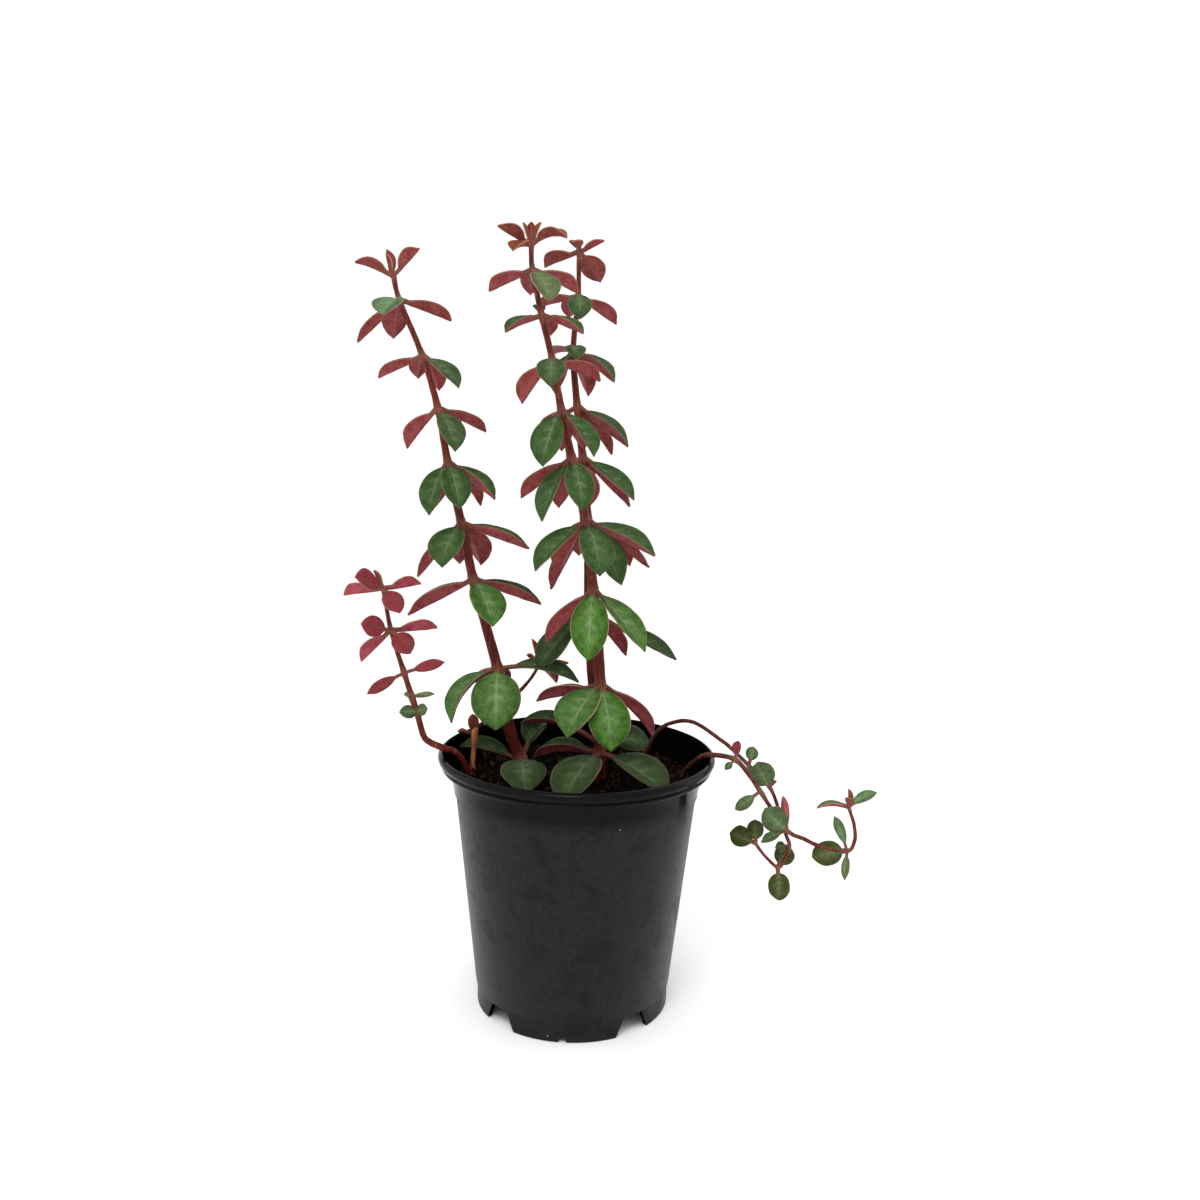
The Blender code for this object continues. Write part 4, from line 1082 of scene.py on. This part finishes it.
# %% The leaf's arithmetic
LEAF_SUMS = (
    ("angle", "MULTIPLY", "droop", "along"),
    ("angle", "SUBTRACT", "first", "angle"),
    ("radius", "DIVIDE", "length", "droop"),
    ("sin_first", "SINE", "first"),
    ("cos_first", "COSINE", "first"),
    ("sin_angle", "SINE", "angle"),
    ("cos_angle", "COSINE", "angle"),
    ("out", "SUBTRACT", "sin_first", "sin_angle"),
    ("out", "MULTIPLY", "out", "radius"),
    ("high", "SUBTRACT", "cos_angle", "cos_first"),
    ("high", "MULTIPLY", "high", "radius"),
    # half the width here, never narrower than the stalk near the foot
    ("narrowing", "SUBTRACT", 1.0, "blade"),
    ("narrowing", "POWER", "narrowing", 3.0),
    ("narrowing", "MULTIPLY", "narrowing", "stalk width"),
    ("half", "MULTIPLY", "half_width", "outline"),
    ("half", "ADD", "half", "narrowing"),
    # the section: a fold at the midrib, a puff in each half, margins that roll down
    ("side", "ABSOLUTE", "across"),
    ("sin_cup", "SINE", "cup"),
    ("cos_cup", "COSINE", "cup"),
    ("y", "MULTIPLY", "across", "cos_cup"),
    ("y", "MULTIPLY", "y", "half"),
    ("lift", "MULTIPLY", "side", "sin_cup"),
    ("bulge", "MULTIPLY", "side", math.pi),
    ("bulge", "SINE", "bulge"),
    ("bulge", "MULTIPLY", "bulge", "puff"),
    ("lift", "ADD", "lift", "bulge"),
    ("curl", "POWER", "side", 4.0),
    ("curl", "MULTIPLY", "curl", "rolled margin"),
    ("lift", "SUBTRACT", "lift", "curl"),
    ("lift", "MULTIPLY", "lift", "half"),
    # the thickness, least at the margins and at the tip
    ("thin", "MULTIPLY", "side", 0.98),
    ("thin", "POWER", "thin", 2.0),
    ("thin", "SUBTRACT", 1.0, "thin"),
    ("thin", "SQRT", "thin"),
    ("taper", "MULTIPLY", "blade", -0.45),
    ("taper", "ADD", "taper", 1.0),
    ("thin", "MULTIPLY", "thin", "taper"),
    ("thin", "MULTIPLY", "thin", "half thickness"),
    ("thin", "MULTIPLY", "thin", "face"),
    ("lift", "ADD", "lift", "thin"),
    # the roll about the midrib
    ("sin_roll", "SINE", "roll"),
    ("cos_roll", "COSINE", "roll"),
    ("y_cos", "MULTIPLY", "y", "cos_roll"),
    ("y_sin", "MULTIPLY", "y", "sin_roll"),
    ("lift_cos", "MULTIPLY", "lift", "cos_roll"),
    ("lift_sin", "MULTIPLY", "lift", "sin_roll"),
    ("y", "SUBTRACT", "y_cos", "lift_sin"),
    ("lift", "ADD", "y_sin", "lift_cos"),
    # and onto the arc
    ("back", "MULTIPLY", "sin_angle", "lift"),
    ("x", "SUBTRACT", "out", "back"),
    ("up", "MULTIPLY", "cos_angle", "lift"),
    ("z", "ADD", "high", "up"),
)

# %% The leaf's tree
leaf_tree, leaf_in, leaf_out = geometry_tree(
    "folded_leaf", Stalk_width=0.00045, Half_thickness=0.0008, Puff=0.09, Rolled_margin=0.05,
    Waviness=0.0009, Wave_length=0.006, Skin=None)
t = leaf_tree
box = node(t, "GeometryNodeMeshCube", (1.0, 2.0, 2.0), 33, 15, 2)
box_place = node(t, "ShaderNodeSeparateXYZ", node(t, "GeometryNodeInputPosition"))
along = node(t, "ShaderNodeMath", box_place.outputs["X"], 0.5, operation="ADD")
for label, number in (("across", box_place.outputs["Y"]), ("along", along),
                      ("face", box_place.outputs["Z"])):
    box = node(t, "GeometryNodeStoreNamedAttribute", box, None, label, number)
leaves = node(t, "GeometryNodeInstanceOnPoints", leaf_in, None, box)
leaves = node(t, "GeometryNodeRealizeInstances", leaves)
value = {name: node(t, "GeometryNodeInputNamedAttribute", name, data_type="FLOAT").outputs[0]
         for name in ("across", "along", "face", "heading", "first", "droop", "length",
                      "half_width", "stalk", "roll", "cup", "round")}
value["stalk width"] = leaf_in.outputs["Stalk width"]
value["half thickness"] = leaf_in.outputs["Half thickness"]
value["puff"] = leaf_in.outputs["Puff"]
value["rolled margin"] = leaf_in.outputs["Rolled margin"]
blade = node(t, "ShaderNodeMapRange", value["along"], value["stalk"], 1.0, 0.0, 1.0)
leaves = node(t, "GeometryNodeStoreNamedAttribute", leaves, None, "blade", blade)
value["blade"] = blade
outlines = []
for places in (BLADE_OUTLINE, ROUND_OUTLINE):
    outline = node(t, "ShaderNodeFloatCurve", None, blade)
    knots = outline.mapping.curves[0].points
    while len(knots) < len(places):
        knots.new(0.5, 0.5)
    for knot, place in zip(knots, places):
        knot.location = place
    outline.mapping.update()
    outlines.append(outline)
value["outline"] = node(t, "ShaderNodeMix", value["round"], *outlines, data_type="FLOAT")
for name, operation, *terms in LEAF_SUMS:
    value[name] = node(t, "ShaderNodeMath", *[value.get(term, term) for term in terms],
                       operation=operation)
bent = node(t, "ShaderNodeCombineXYZ", value["x"], value["y"], value["z"])
faced = node(t, "ShaderNodeVectorRotate", bent, None, value["heading"],
             rotation_type="Z_AXIS")
foot = node(t, "GeometryNodeInputNamedAttribute", "foot", data_type="FLOAT_VECTOR")
placed = node(t, "ShaderNodeVectorMath", faced, foot, operation="ADD")
leaves = node(t, "GeometryNodeSetPosition", leaves, None, placed)
fineness = node(t, "ShaderNodeMath", 1.0, leaf_in.outputs["Wave length"], operation="DIVIDE")
waves = node(t, "ShaderNodeTexNoise", node(t, "GeometryNodeInputPosition"), fineness, 1.0)
waves = node(t, "ShaderNodeVectorMath", waves.outputs["Color"], (0.5, 0.5, 0.5),
             operation="SUBTRACT")
amount = node(t, "ShaderNodeMath", blade, leaf_in.outputs["Waviness"], operation="MULTIPLY")
waves = node(t, "ShaderNodeVectorMath", waves, amount, operation="SCALE")
leaves = node(t, "GeometryNodeSetPosition", leaves, None, None, waves)
leaves = node(t, "GeometryNodeSetShadeSmooth", leaves)
leaves = node(t, "GeometryNodeSetMaterial", leaves, None, leaf_in.outputs["Skin"])
t.links.new(leaves.outputs[0], leaf_out.inputs[0])
print(len(leaf_tree.nodes), "nodes in the leaf's tree")


# %% Grow the leaves
def whorl_points(name):
    """The starting mesh of a whorl: one point for each leaf, with its numbers."""
    stem, number, look, shapes = WHORLS[name]
    mesh = bpy.data.meshes.new(name)
    mesh.from_pydata([(0, 0, 0)] * len(shapes), [], [])
    rows = [leaf_numbers(stem, number, look, shape) for shape in shapes]
    for label, first in rows[0].items():
        if label == "foot":
            attribute = mesh.attributes.new(label, "FLOAT_VECTOR", "POINT")
            attribute.data.foreach_set("vector", [c for row in rows for c in row[label]])
        else:
            attribute = mesh.attributes.new(label, "FLOAT", "POINT")
            attribute.data.foreach_set("value", [row[label] for row in rows])
    return add_object(name, mesh)


LEAF_SLOTS = {"rusty": "leaf_red", "crimson": "leaf_red", "trailing": "leaf_grey"}
LEAF_LOOK = ("across", "blade", "face", "red", "grey", "shade", "pink")
for name, (stem, number, look, shapes) in WHORLS.items():
    whorl = grown(name + "_grown", whorl_points(name), leaf_tree, LEAF_LOOK, Skin=leaf_skin)
    finish_piece(whorl, LEAF_SLOTS.get(look, "leaf_green"), name)

# %% [markdown]
# ## The end
# The number of finished pieces is printed.

# %% Finish
print(len(MADE), "pieces")
